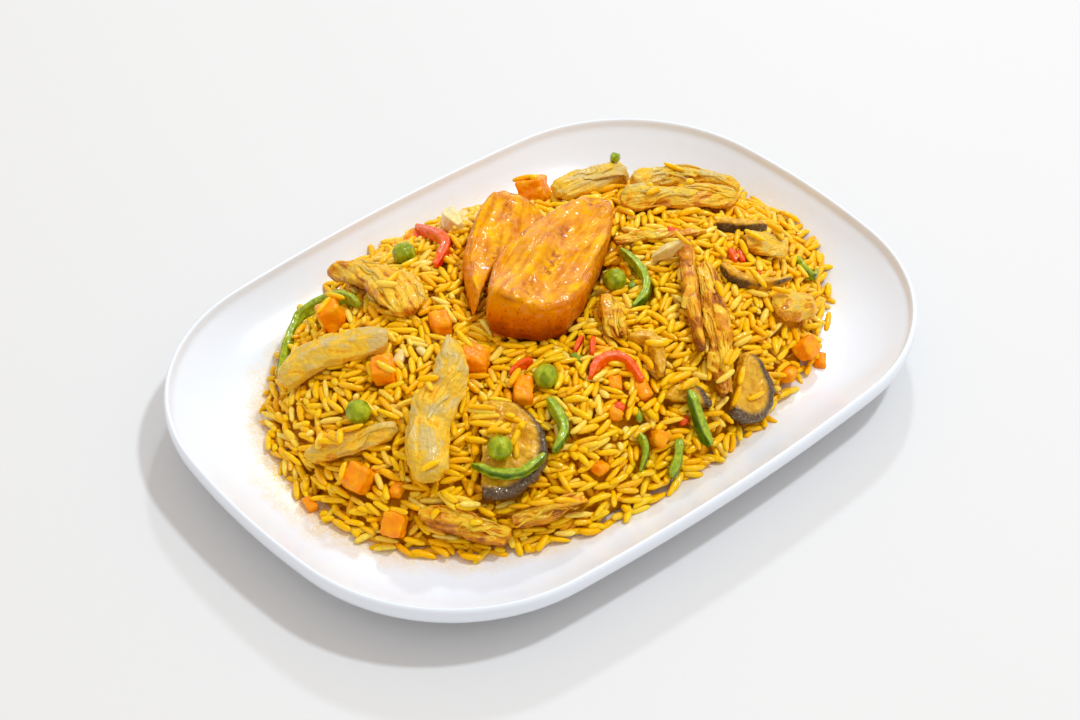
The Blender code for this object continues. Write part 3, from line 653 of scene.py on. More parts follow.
class Lump:
    """A solid's form as a fine even skin of points, in mm, ready to be worked."""

    def __init__(self, node, cell, rounds):
        self.node = node
        raw = bpy.data.objects.new(node, merged(node, node + "_form"))
        bpy.context.scene.collection.objects.link(raw)
        skin = raw.modifiers.new("skin", "REMESH")
        skin.mode = "VOXEL"
        skin.voxel_size = cell * MM
        ready = raw.evaluated_get(bpy.context.evaluated_depsgraph_get())
        self.mesh = bpy.data.meshes.new_from_object(ready)
        bpy.data.objects.remove(raw)
        self.edges = np.empty(len(self.mesh.edges) * 2, np.int32)
        self.mesh.edges.foreach_get("vertices", self.edges)
        self.edges = self.edges.reshape(-1, 2)
        self.points = np.empty(len(self.mesh.vertices) * 3)
        self.mesh.vertices.foreach_get("co", self.points)
        self.points = self.points.reshape(-1, 3) / MM
        self.rub(rounds)

    def around(self, values):
        """For each point, the mean of a value over its neighbours."""
        a, b = self.edges.T
        count = len(self.points)
        total = np.bincount(a, values[b], count) + np.bincount(b, values[a], count)
        links = np.bincount(a, minlength=count) + np.bincount(b, minlength=count)
        return total / np.maximum(links, 1)

    def rub(self, rounds, back=-0.51):
        """Rub down facets and edges, without loss of size unless back is 0."""
        for _ in range(rounds):
            for share in (0.5, back):
                means = np.column_stack([self.around(axis) for axis in self.points.T])
                self.points += (means - self.points) * share

    def normals(self):
        self.mesh.vertices.foreach_set("co", (self.points * MM).ravel())
        self.mesh.update()
        found = np.empty(len(self.points) * 3)
        self.mesh.vertex_normals.foreach_get("vector", found)
        return found.reshape(-1, 3)

    def push(self, amounts):
        """Move each point out along its normal, by an amount in mm."""
        self.points += self.normals() * amounts[:, None]

    def mark(self, name, values):
        """Store a value for each point, or one for all, for the material to read."""
        stored = self.mesh.attributes.new(name, "FLOAT", "POINT")
        each = np.broadcast_to(values, len(self.points)).astype(np.float32)
        stored.data.foreach_set("value", each)

    def mark_run(self, name, along, across):
        """Store each point's place along its own piece, for grain that follows the piece."""
        stored = self.mesh.attributes.new(name, "FLOAT_VECTOR", "POINT")
        run = np.column_stack((along, across, self.points[:, 2])) * MM
        stored.data.foreach_set("vector", run.astype(np.float32).ravel())

    def form(self):
        """The worked mesh, with its points in place."""
        self.normals()
        return self.mesh


def noises(places):
    """Smooth noise at each place, from about -1 to 1."""
    return np.array([noise.noise(place) for place in places.tolist()])


def swell(*columns):
    """Smooth noise at places given by their three coordinates."""
    return noises(np.column_stack(np.broadcast_arrays(*columns)))


def ramped(values, low, high):
    """0 below low, 1 above high, and smooth between them."""
    share = np.clip((values - low) / (high - low), 0, 1)
    return share * share * (3 - 2 * share)


def smooth_route(route):
    """A route as points about 1 mm apart on a smooth line through its own points."""
    knots = [Vector(point[:2]) for point in route]
    knots = [knots[0] * 2 - knots[1]] + knots + [knots[-1] * 2 - knots[-2]]
    line = []
    for a, b, c, d in zip(knots, knots[1:], knots[2:], knots[3:]):
        steps = max(int((c - b).length), 2)
        for k in range(steps):
            t = k / steps
            line.append(0.5 * (2 * b + (c - a) * t + (2 * a - 5 * b + 4 * c - d) * t * t
                               + (3 * b - a - 3 * c + d) * t ** 3))
    return np.array(line + [knots[-2]])


class Route:
    """The line a long piece is laid along."""

    def __init__(self, route):
        self.line = smooth_route(route)
        self.ways = np.gradient(self.line, axis=0)
        self.ways /= np.linalg.norm(self.ways, axis=1)[:, None]
        steps = np.linalg.norm(np.diff(self.line, axis=0), axis=1)
        self.runs = np.concatenate(([0], np.cumsum(steps)))
        self.length = self.runs[-1]
        turns = np.cross(self.ways[:-1], self.ways[1:])
        self.outside = -np.sign(turns.sum()) or 1

    def follow(self, points):
        """How far points lie along the route, and how far to its left."""
        off = points[:, None, :2] - self.line[None]
        near = (off ** 2).sum(2).argmin(1)
        off = off[np.arange(len(points)), near]
        ways = self.ways[near]
        along = self.runs[near] + (off * ways).sum(1)
        return along, off[:, 1] * ways[:, 0] - off[:, 0] * ways[:, 1]

    def heading(self, along):
        """The route's way, in x and in y, so far along it."""
        return [np.interp(along, self.runs, self.ways[:, axis]) for axis in (0, 1)]

    def spot(self, along, across):
        """The place over the plate at a way along and to the left."""
        x, y = (np.interp(along, self.runs, self.line[:, axis]) for axis in (0, 1))
        way_x, way_y = self.heading(along)
        return x - way_y * across, y + way_x * across


# route, width, colour from pale 0 to dark amber 1, folds and fibres in mm, threads
CHICKEN = {
    "chicken_long": (((64, -20), (46, -45), (28, -69)), 11, 0.38, 0.6, 0.25, 8),
    "chicken_dark": (((66, -8), (48, -28), (30, -54)), 7, 0.50, 0.4, 0.15, 4),
    "chicken_big": (((-43, 7), (-54, -8), (-67, -14), (-77, -22), (-86, -35)),
                    20, 0.02, 0.5, 0.08, 2),
    "chicken_curled": (((-40, 84), (-37, 69), (-37, 50), (-42, 31)), 20, 0.26, 0.9, 0.2, 9),
    "chicken_smooth": (((-92, 47), (-81, 45), (-70, 36), (-57, 26)), 15, 0.02, 0.35, 0.06, 0),
    "chicken_half_sunk": (((-106, 14), (-94, 2), (-80, -7)), 11, 0.10, 0.5, 0.15, 2),
    "chicken_brown": (((-93, -37), (-86, -47), (-78, -57), (-73, -63)), 12, 0.40, 0.7, 0.25, 16),
    "chicken_low": (((-69, -60), (-59, -65), (-42, -69)), 8, 0.40, 0.8, 0.35, 14),
    "chicken_back_left": (((50, 53), (66, 51), (86, 51)), 15, 0.02, 0.7, 0.12, 3),
    "chicken_back_right": (((80, 38), (104, 32), (120, 17)), 18, 0.12, 0.8, 0.3, 34),
    "chicken_back_low": (((65, 30), (84, 18), (107, 6)), 18, 0.20, 0.8, 0.3, 30),
    "chicken_thin": (((46, 13), (58, 6), (79, -5)), 5, 0.30, 0.4, 0.3, 5),
    "chicken_browned": (((19, -12), (15, -20), (9, -31)), 9, 0.44, 1.1, 0.45, 14),
    "chicken_right_upper": (((89, -17), (104, -25)), 15, 0.10, 0.2, 0.22, 0),
    "chicken_right_lower": (((75, -48), (94, -51)), 15, 0.12, 0.2, 0.22, 0),
}

# the flats along a piece: the way each faces, in degrees up from its left, and how far out it lies
TORN = ((80, 0.66), (140, 0.7), (30, 0.7))
SLICED = ((90, 0.62), (45, 0.84), (135, 0.84), (0, 0.84), (180, 0.84))
FLATS = {
    "chicken_big": ((92, 0.62), (40, 0.66), (148, 0.72), (0, 0.86), (180, 0.84)),
    "chicken_smooth": ((80, 0.70), (28, 0.74), (135, 0.66), (180, 0.88)),
    "chicken_half_sunk": ((95, 0.62), (40, 0.7), (150, 0.68)),
    "chicken_right_upper": SLICED,
    "chicken_right_lower": SLICED,
    "chicken_back_left": ((80, 0.70), (130, 0.74), (30, 0.74)),
    "chicken_back_right": ((100, 0.68), (55, 0.72), (150, 0.70), (15, 0.8)),
    "chicken_back_low": ((85, 0.70), (40, 0.72), (140, 0.72)),
    "chicken_curled": ((85, 0.70), (130, 0.72), (35, 0.7), (0, 0.84), (180, 0.84)),
    "chicken_long": ((75, 0.70), (125, 0.72), (20, 0.76)),
    "chicken_dark": ((85, 0.66), (140, 0.72), (30, 0.72)),
}
CUT_OFF = {"chicken_big": 0.75, "chicken_smooth": 0.8, "chicken_right_upper": 0.8,
           "chicken_right_lower": 0.8}  # how bluntly a piece ends
END_STRETCH = 0.12  # share of a piece's length that its blunt end is drawn out over
WAISTS = {"chicken_big": (0.55, 26)}  # share of the width at the start, and over how many mm
STATIONS = 25  # a piece's height and width are taken at so many places along it
THREAD_SHADE = 0.4  # how stringy a loose thread looks


def tear(lump, route, folds, fibres, shift):
    """Work muscle bundles and fibres into a lump, along its route, and find where to paint shade.
    """
    along, across = route.follow(lump.points)
    height = lump.points[:, 2]
    sway = swell(along * 0.05, across * 0.08, height * 0.08 + shift) * 3.5
    bundle = swell(along * 0.022 + shift, (across + sway) * 0.24, height * 0.28)
    strand = swell(along * 0.05, (across + sway) * 0.8 + shift, height * 0.9)
    crumb = noises(lump.points * (0.16, 0.16, 0.1) + shift)
    crease = 1 - 2.8 * np.abs(bundle)
    uneven = crumb * (0.4 + 0.6 * folds)
    depth = folds * (0.35 - ramped(crease, 0.2, 1.0)) + fibres * strand * 1.8 + uneven
    lump.push(depth)
    lump.rub(1, 0)
    # Painted shade: darker in the creases and on the sides that turn away from the top.
    shade_in_hollows = ramped(-depth + uneven, -0.1, folds * 0.5 + fibres * 0.9)
    shade_in_hollows = np.maximum(shade_in_hollows, 0.9 * ramped(1 - lump.normals()[:, 2], 0.25, 0.75))
    return along, across, shade_in_hollows


def sections(lump, route):
    """Where points lie along a piece, and in its own section, which reaches 1 on every side."""
    along, across = route.follow(lump.points)
    last = STATIONS - 1
    bins = np.clip((along / route.length * last).astype(int), 0, last)
    middle, tall, wide = (np.zeros(STATIONS) for _ in range(3))
    for k in range(STATIONS):
        inside = bins == k
        if inside.any():
            z = lump.points[inside, 2]
            middle[k], tall[k] = (z.max() + z.min()) / 2, max((z.max() - z.min()) / 2, 0.5)
            wide[k] = max(np.abs(across[inside]).max(), 0.5)
    centres = (np.arange(STATIONS) + 0.5) / last * route.length
    middle, tall, wide = (np.interp(along, centres, row) for row in (middle, tall, wide))
    return along, across / wide, (lump.points[:, 2] - middle) / tall, middle, tall, wide


def reset(lump, route, along, shift, heights):
    """Move points across their route, and to other heights."""
    way_x, way_y = route.heading(along)
    lump.points[:, 0] -= way_y * shift
    lump.points[:, 1] += way_x * shift
    lump.points[:, 2] = heights


def waist(lump, route, share, reach):
    """Narrow the first stretch of a lump."""
    along, across = route.follow(lump.points)
    narrow = (share - 1) * (1 - ramped(along, 0, reach))
    reset(lump, route, along, across * narrow, lump.points[:, 2])


def blunt(lump, route, share):
    """Draw a lump's last stretch out to its end, so that the end is cut off rather than round."""
    along = route.follow(lump.points)[0]
    left = (along.max() - along) / np.ptp(along)
    step = left * share * np.exp(-left / END_STRETCH) * np.ptp(along)
    for axis, way in enumerate(route.heading(along)):
        lump.points[:, axis] += way * step


def whittle(lump, route, flats, shift):
    """Cut flats with crisp edges along a lump, as a knife or a torn muscle leaves them."""
    along, t, u, middle, tall, wide = sections(lump, route)
    start = t.copy()
    for number, (angle, reach) in enumerate(flats):
        bend = swell(along * 0.06, number * 7, shift)
        twist = swell(along * 0.05, number * 7 + 3, shift)
        turn = math.radians(angle) + 0.6 * twist
        over = np.maximum(t * np.cos(turn) + u * np.sin(turn) - reach - 0.3 * bend, 0) * 0.9
        t, u = t - over * np.cos(turn), u - over * np.sin(turn)
    reset(lump, route, along, (t - start) * wide, middle + u * tall)


def square_up(lump, route, corner, thin):
    """Turn a strip's round section into the flat band of a cut strip, with sharper corners the
    higher corner is, and return each point's place across and up its section."""
    along, t, u, middle, tall, wide = sections(lump, route)
    full = np.sqrt(t * t + u * u) / np.maximum((np.abs(t) ** corner + np.abs(u) ** corner)
                                               ** (1 / corner), 1e-6)
    reset(lump, route, along, t * wide * (full * thin - 1), middle + u * tall * full)
    return t, u


def thread_rows(lump, route, width, count, tone, spread):
    """Loose threads and flakes of meat on a lump, each a ragged pod bent along the route."""
    tree = BVHTree.FromPolygons(lump.points.tolist(), [p.vertices for p in lump.mesh.polygons])
    template, faces = pod(sides=8, rings=14)
    share = (template[:, 0] + 1) / 2
    rows = []
    for _ in range(count):
        flake = spread.random() < 0.45
        length = min(spread.uniform(9, 24), route.length * 0.85)
        start = spread.uniform(-2, route.length - length + 2)
        lean = spread.uniform(-0.25, 0.25) * length
        left = spread.uniform(-0.42, 0.42) * width + lean * (share - 0.5)
        left = left + 0.6 * np.sin(share * spread.uniform(3, 8))
        broad = spread.uniform(1.2, 3.0) if flake else spread.uniform(0.4, 0.8)
        thick = spread.uniform(0.5, 0.9)
        x, y = route.spot(start + share * length, left + template[:, 1] * broad)
        rise = []
        for place_x, place_y in zip(*route.spot(start + share * length, left)):
            hit = tree.ray_cast(Vector((place_x, place_y, 120)), Vector((0, 0, -1)))[0]
            rise.append(hit.z if hit else np.nan)
        rise = np.array(rise)
        if np.isnan(rise).mean() > 0.3:
            continue
        rise = np.where(np.isnan(rise), np.nanmin(rise) - 0.8, rise)
        z = rise + thick * (0.3 + template[:, 2] * 0.8) - 0.5 * (template[:, 1] * broad / 3) ** 2
        thing = np.column_stack((x, y, z))
        ragged = noises(thing * 0.5 + 40) * 0.7 * (broad > 1) + noises(thing * 1.3) * 0.25
        thing[:, 0] += ragged
        thing[:, 2] += ragged * 0.5
        rows.append((thing, faces, (tone + spread.uniform(-0.15, 0.15), THREAD_SHADE)))
    return rows


def streaky(paint, size, detail, drawn):
    """Noise drawn out along the piece's own run."""
    run = paint.node("Attribute", {}, attribute_name="run").outputs["Vector"]
    grain = paint.node("Mapping", {"Vector": run, "Scale": (drawn, 1, 1)}).outputs[0]
    noise_look = {"Vector": grain, "Scale": 1 / size, "Detail": detail}
    return paint.node("TexNoise", noise_look).outputs[0]


def paint_chicken():
    paint = Paint("stewed_chicken", IOR=1.42, Coat_Roughness=0.16,
                  Specular_Tint=(1.0, 0.8, 0.4, 1), Subsurface_Scale=1.5 * MM,
                  Subsurface_Weight=0.25, Subsurface_Radius=(1.0, 0.6, 0.3))
    streaks = streaky(paint, 0.9 * MM, 1, 0.12)
    stain = paint.patches(7 * MM, 4, (0.46, 0.0), (0.62, 0.30))
    amount = paint.plus(paint.mark("tone"), stain)
    # Painted shade: darker in the creases and on the steep sides.
    amount = paint.plus(amount, paint.times(paint.mark("shade_in_hollows"), 0.24))
    # Painted shade: darker low down, where the meat meets the rice.
    amount = paint.plus(amount, paint.times(paint.mark("under"), 0.26))
    # Painted shade: thin dark lines in the grooves between the fibres.
    groove_shade = paint.times(paint.mark("stringy"), paint.ramp(streaks, (0.38, 0.3), (0.5, 0.0)))
    fine = paint.plus(groove_shade, paint.times(paint.calc("SUBTRACT", streaks, 0.5), 0.16))
    amount = paint.plus(amount, fine, clamp=True)
    colour = paint.ramp(amount, (0.0, tint(212, 188, 122)), (0.22, tint(226, 184, 66)),
                        (0.42, tint(246, 198, 46)), (0.62, tint(232, 156, 18)),
                        (0.82, tint(196, 112, 14)), (1.0, tint(140, 70, 12)))
    fibres = paint.times(paint.ramp(streaks, (0.36, 0.0), (0.62, 1.0)),
                         paint.plus(paint.mark("stringy"), 0.25))
    bump = paint.bumps(1.4 * MM, 0.5 * MM, paint.relief(fibres, 0.3 * MM))
    rough = paint.patches(3 * MM, 2, (0.3, 0.3), (0.7, 0.5))
    wet = paint.patches(5 * MM, 3, (0.48, 0.0), (0.62, 0.75))
    return paint.finish(Base_Color=colour, Roughness=rough, Normal=bump, Coat_Weight=wet)


chicken_look = paint_chicken()
meat_dice = random.Random(3)
threads = []
for node, (points, width, tone, folds, fibres, count) in CHICKEN.items():
    route = Route(points)
    lump = Lump(node, cell=0.6, rounds=6)
    if node in WAISTS:
        waist(lump, route, *WAISTS[node])
    if node in CUT_OFF:
        blunt(lump, route, CUT_OFF[node])
    whittle(lump, route, FLATS.get(node, TORN), meat_dice.uniform(0, 90))
    lump.rub(1)
    along, across, shade_in_hollows = tear(lump, route, folds, fibres, meat_dice.uniform(0, 90))
    ground = np.array([at(mound, x, y) for x, y in lump.points[:, :2]])
    lump.mark_run("run", along, across)
    lump.mark("tone", tone)
    lump.mark("stringy", min(fibres * 2.4, 1.0))
    # Painted shade in the creases and on the steep sides, for the material.
    lump.mark("shade_in_hollows", shade_in_hollows)
    # Painted shade: darker within 3.5 mm of the rice below.
    lump.mark("under", 1 - ramped(lump.points[:, 2] - ground, 0.0, 3.5))
    threads += thread_rows(lump, route, width, count, tone, meat_dice)
    serve(node + "_meat", lump.form(), chicken_look, "chicken", node)
serve("chicken_threads", strew("chicken_threads", threads, ("tone", "stringy")), chicken_look,
      "chicken", "chicken_long")

# ----------------------------------------------------------------------------- plantain
# Two slices of ripe plantain cut on the slant and fried: a soft pitted golden face, a thin
# browned edge, and small dark seeds down the middle. They lie on the top of the heap.

# middle in mm, and the way of its length in degrees
PLANTAIN = {"plantain_back": ((6, 38, 40), 38), "plantain_front": ((14, 11, 49), 27)}
WAVE, CREASE, DENT = 4.2, 0.9, 1.6  # how deep the face's waves, grooves and seed dents are, in mm
SEED_BAND = 2.6  # half the width of the band of seeds, in mm


def fry(node, middle, turn):
    """Work a slice's soft face, its long hollows and its pitted side into its form."""
    lump = Lump(node, cell=0.6, rounds=10)
    lump.rub(16, back=-0.36)
    points, shift = lump.points - np.array(middle), middle[1]
    normals = lump.normals()
    upward = normals[normals[:, 2] > 0.9].mean(0)
    upward /= np.linalg.norm(upward)
    level = points @ upward
    face = ramped(normals @ upward, 0.35, 0.93)
    for _ in range(4):
        face = (face + lump.around(face)) / 2
    way = np.array((math.cos(math.radians(turn)), math.sin(math.radians(turn)), 0))
    along, across = points @ way, points @ np.cross(upward, way)
    wave = swell(along * 0.03, across * 0.075, shift)
    groove = swell(along * 0.02 + shift, across * 0.13, 0)
    pits = noises(points * 0.4 + shift)
    small = noises(points * 1.1 + shift)
    middle_line = 5 * swell(along * 0.045 + shift, 0, 0)
    dent = np.exp(-((across - middle_line) / SEED_BAND) ** 2)
    dent *= ramped(swell(along * 0.06 + shift * 2, 0, 0), -0.25, 0.3)
    crease = ramped(1 - 3 * np.abs(groove), 0.0, 1.0)
    depth = (wave * WAVE - crease * CREASE - dent * DENT + 0.4) * face
    depth = depth + pits * 0.5 + small * 0.25
    lump.push(depth)
    lump.rub(1, 0)
    lump.mark_run("run", along, across)
    lump.mark("face", face)
    lump.mark("drop", ramped(level.max() - level, 3, 18))
    lump.mark("dent", np.clip(dent * 1.2, 0, 1))
    return lump


def paint_plantain():
    paint = Paint("fried_plantain", IOR=1.45, Coat_Roughness=0.19, Coat_Tint=(1.0, 0.85, 0.5, 1),
                  Specular_Tint=(1.0, 0.4, 0.0, 1), Subsurface_Scale=2 * MM,
                  Subsurface_Weight=0.08, Subsurface_Radius=(1.0, 0.4, 0.05))
    streaks = streaky(paint, 3.2 * MM, 5, 0.3)
    face = paint.mark("face")
    golden = paint.ramp(streaks, (0.30, tint(206, 118, 0)), (0.5, tint(242, 172, 0)),
                        (0.72, tint(253, 202, 0)))
    cloudy = paint.patches(12 * MM, 4, (0.42, 0.0), (0.68, 0.45))
    golden = paint.mix(cloudy, golden, tint(208, 118, 0))
    seeds = paint.patches(2.2 * MM, 3, (0.46, 0.0), (0.58, 1.0), roughness=0.65)
    seeds = paint.times(paint.times(paint.mark("dent"), 0.75), seeds)
    golden = paint.mix(seeds, golden, tint(150, 50, 6))
    uneven = paint.calc("SUBTRACT", paint.clouds(4 * MM, 5, roughness=0.65), 0.5)
    side = paint.plus(paint.mark("drop"), paint.times(uneven, 0.9))
    brown = paint.ramp(side, (0.0, tint(236, 146, 0)), (0.45, tint(216, 112, 0)),
                       (1.0, tint(160, 64, 0)))
    specks = paint.patches(1.5 * MM, 3, (0.34, 0.75), (0.43, 0.0), roughness=0.7)
    brown = paint.mix(specks, brown, tint(112, 40, 0))
    colour = paint.mix(face, brown, golden)
    edge = paint.times(face, paint.calc("SUBTRACT", 1.0, face))
    ragged = paint.patches(6 * MM, 4, (0.38, 0.5), (0.6, 2.8))
    edge = paint.times(edge, ragged, clamp=True)
    colour = paint.mix(edge, colour, tint(164, 80, 0))
    bump = paint.bumps(1.9 * MM, 0.3 * MM)
    rough = paint.patches(8 * MM, 2, (0.4, 0.3), (0.62, 0.5))
    wet = paint.patches(9 * MM, 3, (0.46, 0.0), (0.56, 0.9), roughness=0.6)
    return paint.finish(Base_Color=colour, Roughness=rough, Normal=bump, Coat_Weight=wet)


plantain_look = paint_plantain()
for node, facts in PLANTAIN.items():
    serve(node + "_slice", fry(node, *facts).form(), plantain_look, "plantain", node)

# ---------------------------------------------------------------------------- aubergine
# Stewed aubergine: half rounds, and thin strips, with a dark blue-grey skin along the round edge
# and flesh gone soft, glassy and amber with stock.

SKIN_BAND = 4.2  # how far the dark skin reaches in over the cut side of a half round, in mm

# middle and radius in mm
HALF_MOONS = {
    "aubergine_large": (-59, -38, 19.5),
    "aubergine_front": (12, -64, 10.5),
    "aubergine_right": (40, -65, 14.0),
}
AUBERGINE_STRIPS = {
    "aubergine_middle": ((12, -33), (18, -38), (16, -45), (10, -53)),
    "aubergine_thin_upper": ((87, -2), (95, -8), (107, -11)),
    "aubergine_thin_lower": ((70, -23), (70, -31), (77, -37), (93, -39)),
}


def paint_aubergine():
    paint = Paint("stewed_aubergine", IOR=1.42, Coat_Weight=0.25, Coat_Roughness=0.08,
                  Specular_Tint=(1.0, 0.85, 0.6, 1), Subsurface_Scale=1.5 * MM,
                  Subsurface_Weight=0.3, Subsurface_Radius=(1.0, 0.6, 0.2))
    flesh = paint.patches(2.4 * MM, 4, (0.3, tint(206, 142, 4)), (0.7, tint(238, 188, 40)))
    skin = paint.patches(1.0 * MM, 3, (0.35, tint(70, 50, 32)), (0.60, tint(108, 84, 62)),
                         (0.74, tint(172, 158, 140)), roughness=0.7)
    colour = paint.mix(paint.mark("skin"), flesh, skin)
    bump = paint.bumps(1.3 * MM, 0.4 * MM)
    rough = paint.patches(2 * MM, 2, (0.3, 0.2), (0.7, 0.42))
    return paint.finish(Base_Color=colour, Roughness=rough, Normal=bump)


aubergine_look = paint_aubergine()
for node, (x, y, radius) in HALF_MOONS.items():
    lump = Lump(node, cell=0.5, rounds=8)
    out = np.hypot(lump.points[:, 0] - x, lump.points[:, 1] - y)
    lump.push(noises(lump.points * 0.22) * 0.9 + noises(lump.points * 0.8) * 0.3)
    lump.mark("skin", ramped(out, radius - SKIN_BAND, radius - 2.0))
    serve(node + "_cut", lump.form(), aubergine_look, "aubergine", node)
for node, points in AUBERGINE_STRIPS.items():
    route, lump = Route(points), Lump(node, cell=0.4, rounds=6)
    side, _ = square_up(lump, route, corner=5, thin=0.72)
    lump.push(noises(lump.points * 0.35) * 0.5)
    lump.mark("skin", ramped(side * route.outside, 0.6, 0.8))
    serve(node + "_strip", lump.form(), aubergine_look, "aubergine", node)

# -------------------------------------------------------------------- peppers and onion
# Strips of green and red pepper, cut across the fruit: bright wet flesh on the cut sides, a
# glossy skin along the outside of the curve. The onion is in soft pale slices.

GREEN_PEPPER = {
    "green_pepper_left": ((-49.5, 54), (-48.5, 63), (-54, 71.5), (-65, 75), (-86, 58)),
    "green_pepper_middle": ((44, 7), (43, -2), (40, -12), (33, -19), (25, -21)),
    "green_pepper_hook": ((-32, -37), (-33, -44), (-36, -51), (-44, -54)),
    "green_pepper_over": ((-71, -40), (-68, -48), (-60, -55), (-49, -55)),
    "green_pepper_right": ((14, -64), (13, -71), (13, -78)),
    "green_pepper_short": ((2, -72), (-2, -76), (-8, -79)),
    "green_pepper_thin": ((-11, -64), (-12, -69), (-18, -73)),
    "green_pepper_edge": ((109, -27), (107, -32), (110, -36), (116, -32)),
    "green_pepper_top": ((79, 51), (83, 51)),
}
RED_PEPPER = {
    "red_pepper_back": ((3, 84), (0, 69), (-4, 56), (-16, 48)),
    "red_pepper_arc": ((-13, -39), (-6, -35), (1, -36), (4, -42), (2, -51)),
    "red_pepper_upright": ((2, -24), (-5, -31)),
    "red_pepper_under": ((-1, -21), (-8, -25)),
    "red_pepper_thin": ((-34, -18), (-28, -17), (-23, -18)),
    "red_pepper_right": ((80, -17), (77, -24)),
    "red_pepper_corner": ((37, 77), (43, 78)),
}
ONION = {
    "onion_back": ((20, 83), (12, 74), (8, 62)),
    "onion_middle": ((50, -5), (60, -12)),
}


def paint_pepper(name, skin_dark, skin, flesh, pale):
    paint = Paint(name, IOR=1.45, Coat_Weight=0.22, Coat_Roughness=0.05,
                  Subsurface_Scale=1.2 * MM, Subsurface_Weight=0.2,
                  Subsurface_Radius=(0.8, 0.8, 0.3))
    outside = paint.patches(3 * MM, 2, (0.35, skin_dark), (0.65, skin))
    inside = paint.patches(1.8 * MM, 3, (0.35, flesh), (0.65, pale))
    colour = paint.mix(paint.mark("skin"), inside, outside)
    bump = paint.bumps(2.4 * MM, 0.4 * MM)
    return paint.finish(Base_Color=colour, Roughness=0.25, Normal=bump)


green_look = paint_pepper("green_pepper", tint(50, 88, 0), tint(82, 122, 2), tint(130, 158, 4),
                          tint(180, 198, 40))
red_look = paint_pepper("red_pepper", tint(206, 22, 0), tint(234, 44, 0), tint(242, 74, 0),
                        tint(252, 112, 10))
onion_look = paint_pepper("soft_onion", tint(238, 200, 120), tint(242, 212, 120),
                          tint(240, 214, 120), tint(248, 232, 168))
for slot, look, strips in (("green_pepper", green_look, GREEN_PEPPER),
                           ("red_pepper", red_look, RED_PEPPER), ("onion", onion_look, ONION)):
    for node, points in strips.items():
        route, lump = Route(points), Lump(node, cell=0.4, rounds=5)
        side, top = square_up(lump, route, corner=6, thin=0.64)
        lump.push(noises(lump.points * 0.2) * 0.4)
        outside, below = ramped(side * route.outside, 0.45, 0.7), ramped(-top, 0.5, 0.9)
        lump.mark("skin", np.maximum(outside, below))
        serve(node + "_strip", lump.form(), look, slot, node)


def chip(spread):
    """A soft-cornered scrap of unit half size."""
    points, faces = pod(sides=12, rings=10)
    points = points / ((np.abs(points) ** 9).sum(1) ** (1 / 9))[:, None]
    return points * (1 + 0.22 * noises(points * 1.1 + spread.uniform(0, 50)))[:, None], faces


def serve_scraps(name, kind, look, slot, node):
    """The small bits of one kind that lie among the grains."""
    spread = random.Random(kind)
    rows = []
    for x, y, length, width, deep, turn in SCRAPS[kind]:
        points, faces = chip(spread)
        tilt = Euler((spread.uniform(-0.3, 0.3), spread.uniform(-0.3, 0.3), math.radians(turn)))
        sized = points * (length / 2, width / 2, deep / 2)
        place = (x, y, at(mound, x, y) + LIFT)
        rows.append((sized @ np.array(tilt.to_matrix()).T + place, faces, (0.3,)))
    serve(name, strew(name, rows, ("skin",)), look, slot, node)


serve_scraps("green_pepper_bits", "green", green_look, "green_pepper", "green_pepper_short")
serve_scraps("red_pepper_bits", "red", red_look, "red_pepper", "red_pepper_arc")
serve_scraps("onion_bits", "onion", onion_look, "onion", "onion_back")

# --------------------------------------------------------------------- carrots and peas
# Diced carrot, stewed until its corners have gone soft, and garden peas, a little wrinkled.


def paint_carrot():
    paint = Paint("diced_carrot", IOR=1.42, Coat_Weight=0.2, Coat_Roughness=0.08,
                  Specular_Tint=(1.0, 0.7, 0.3, 1), Subsurface_Scale=1.8 * MM,
                  Subsurface_Weight=0.3, Subsurface_Radius=(1.0, 0.45, 0.1))
    colour = paint.patches(3.5 * MM, 3, (0.32, tint(252, 138, 0)), (0.55, tint(255, 156, 0)),
                           (0.75, tint(255, 182, 14)))
    bump = paint.bumps(1.6 * MM, 0.4 * MM)
    return paint.finish(Base_Color=colour, Roughness=0.34, Normal=bump)


def paint_pea():
    paint = Paint("garden_pea", IOR=1.42, Coat_Weight=0.25, Coat_Roughness=0.08,
                  Specular_Tint=(0.9, 1.0, 0.4, 1), Subsurface_Scale=1.5 * MM,
                  Subsurface_Weight=0.2, Subsurface_Radius=(0.7, 0.8, 0.2))
    colour = paint.patches(2.6 * MM, 3, (0.3, tint(112, 128, 0)), (0.5, tint(148, 162, 6)),
                           (0.72, tint(188, 196, 40)), stretch=(1, 1, 0.4))
    bump = paint.bumps(1.8 * MM, 0.3 * MM)
    return paint.finish(Base_Color=colour, Roughness=0.33, Normal=bump)


carrot_look, pea_look = paint_carrot(), paint_pea()
serve_scraps("carrot_bits", "carrot", carrot_look, "carrot", "carrot_middle")
for node in TOPPINGS:
    if node.startswith("carrot"):
        lump = Lump(node, cell=0.45, rounds=4)
        lump.push(noises(lump.points * 0.25) * 0.7 + noises(lump.points * 0.7) * 0.25)
        lump.rub(1, 0)
        serve(node + "_dice", lump.form(), carrot_look, "carrot", node)
    if node.startswith("pea"):
        lump = Lump(node, cell=0.4, rounds=8)
        lump.push(noises(lump.points * 0.3) * 0.25 + noises(lump.points * 0.9) * 0.10)
        serve(node + "_round", lump.form(), pea_look, "pea", node)

# -------------------------------------------------------------------------------- table
# A plain pale table top in a light room. A window high on the right throws the shadow, and a
# smaller and lower one behind lights the wet edges of the food.

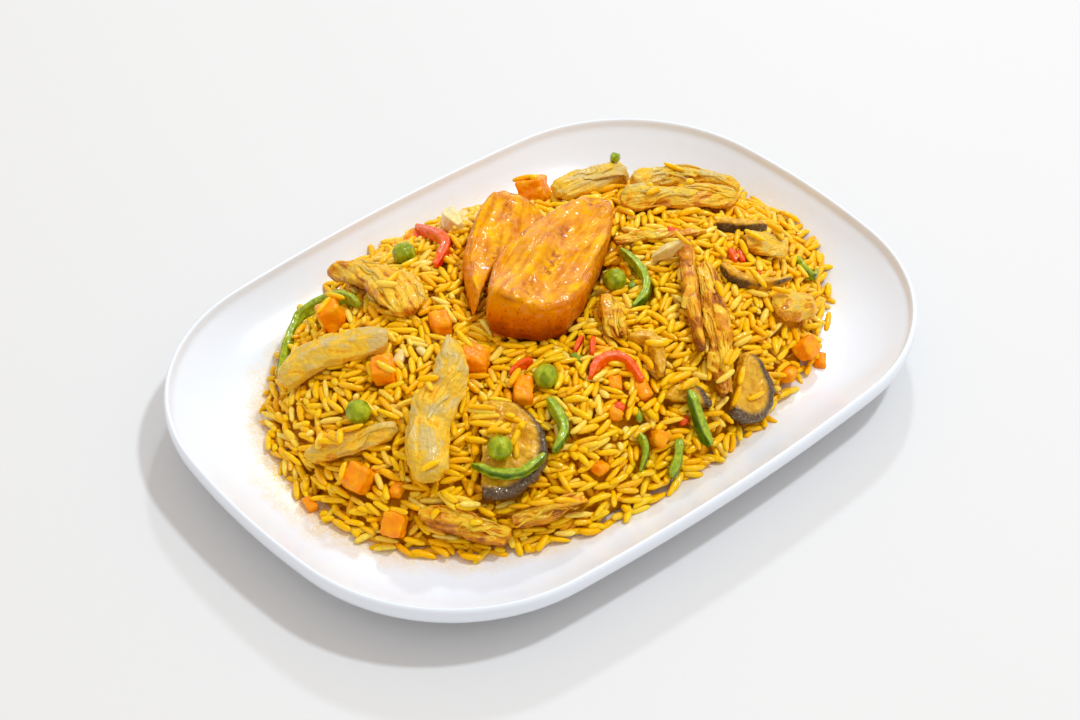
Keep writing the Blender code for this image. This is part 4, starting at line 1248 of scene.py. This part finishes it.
ROOM_COLOUR, ROOM_STRENGTH = (1.0, 0.94, 0.89, 1), 0.77
DAYLIGHT = (0.92, 1.0, 1.07)
LAMP_DISTANCE = 3.2
TABLE_HALF = 4  # half the table's width, in metres

world = bpy.data.worlds.new("room")
world.use_nodes = True
background = world.node_tree.nodes["Background"]
background.inputs["Color"].default_value = ROOM_COLOUR
background.inputs["Strength"].default_value = ROOM_STRENGTH
bpy.context.scene.world = world

bm = bmesh.new()
bmesh.ops.create_grid(bm, x_segments=1, y_segments=1, size=TABLE_HALF)
floor = bpy.data.objects.new("table_top", to_mesh("table_top", bm))
bpy.context.scene.collection.objects.link(floor)
paint = Paint("pale_table", Roughness=0.6)
floor.data.materials.append(paint.finish(Base_Color=tint(222, 222, 222)))

VIEW_AZIMUTH, VIEW_HEIGHT = -40.95, 42.5  # degrees round from the front, and up
VIEW_DISTANCE = 0.9529
VIEW_TARGET = Vector((-0.0105, -0.0078, 0.024))
VIEW_LENS, VIEW_SENSOR = 83.33, 36


def aim(holder, azimuth, height, distance, target=Vector()):
    """Hang a lamp or the camera at a bearing and a height, and turn it to the dish."""
    azimuth, height = math.radians(azimuth), math.radians(height)
    away = Vector((math.sin(azimuth) * math.cos(height), -math.cos(azimuth) * math.cos(height),
                   math.sin(height)))
    holder.rotation_mode = "QUATERNION"
    holder.rotation_quaternion = away.to_track_quat("Z", "Y")
    holder.location = target + away * distance
    bpy.context.scene.collection.objects.link(holder)


for name, azimuth, height, size, power in (("window", 68, 64, 0.3, 41),
                                           ("far_window", 131, 39, 0.25, 19)):
    light = bpy.data.lights.new(name, "AREA")
    light.shape = "DISK"
    light.size = size
    light.energy = power
    light.color = DAYLIGHT
    aim(bpy.data.objects.new(name, light), azimuth, height, LAMP_DISTANCE)

camera = bpy.data.objects.new("camera", bpy.data.cameras.new("camera"))
camera.data.lens = VIEW_LENS
camera.data.sensor_width = VIEW_SENSOR
aim(camera, VIEW_AZIMUTH, VIEW_HEIGHT, VIEW_DISTANCE, VIEW_TARGET)
bpy.context.scene.camera = camera
bpy.context.scene.view_settings.view_transform = "Standard"
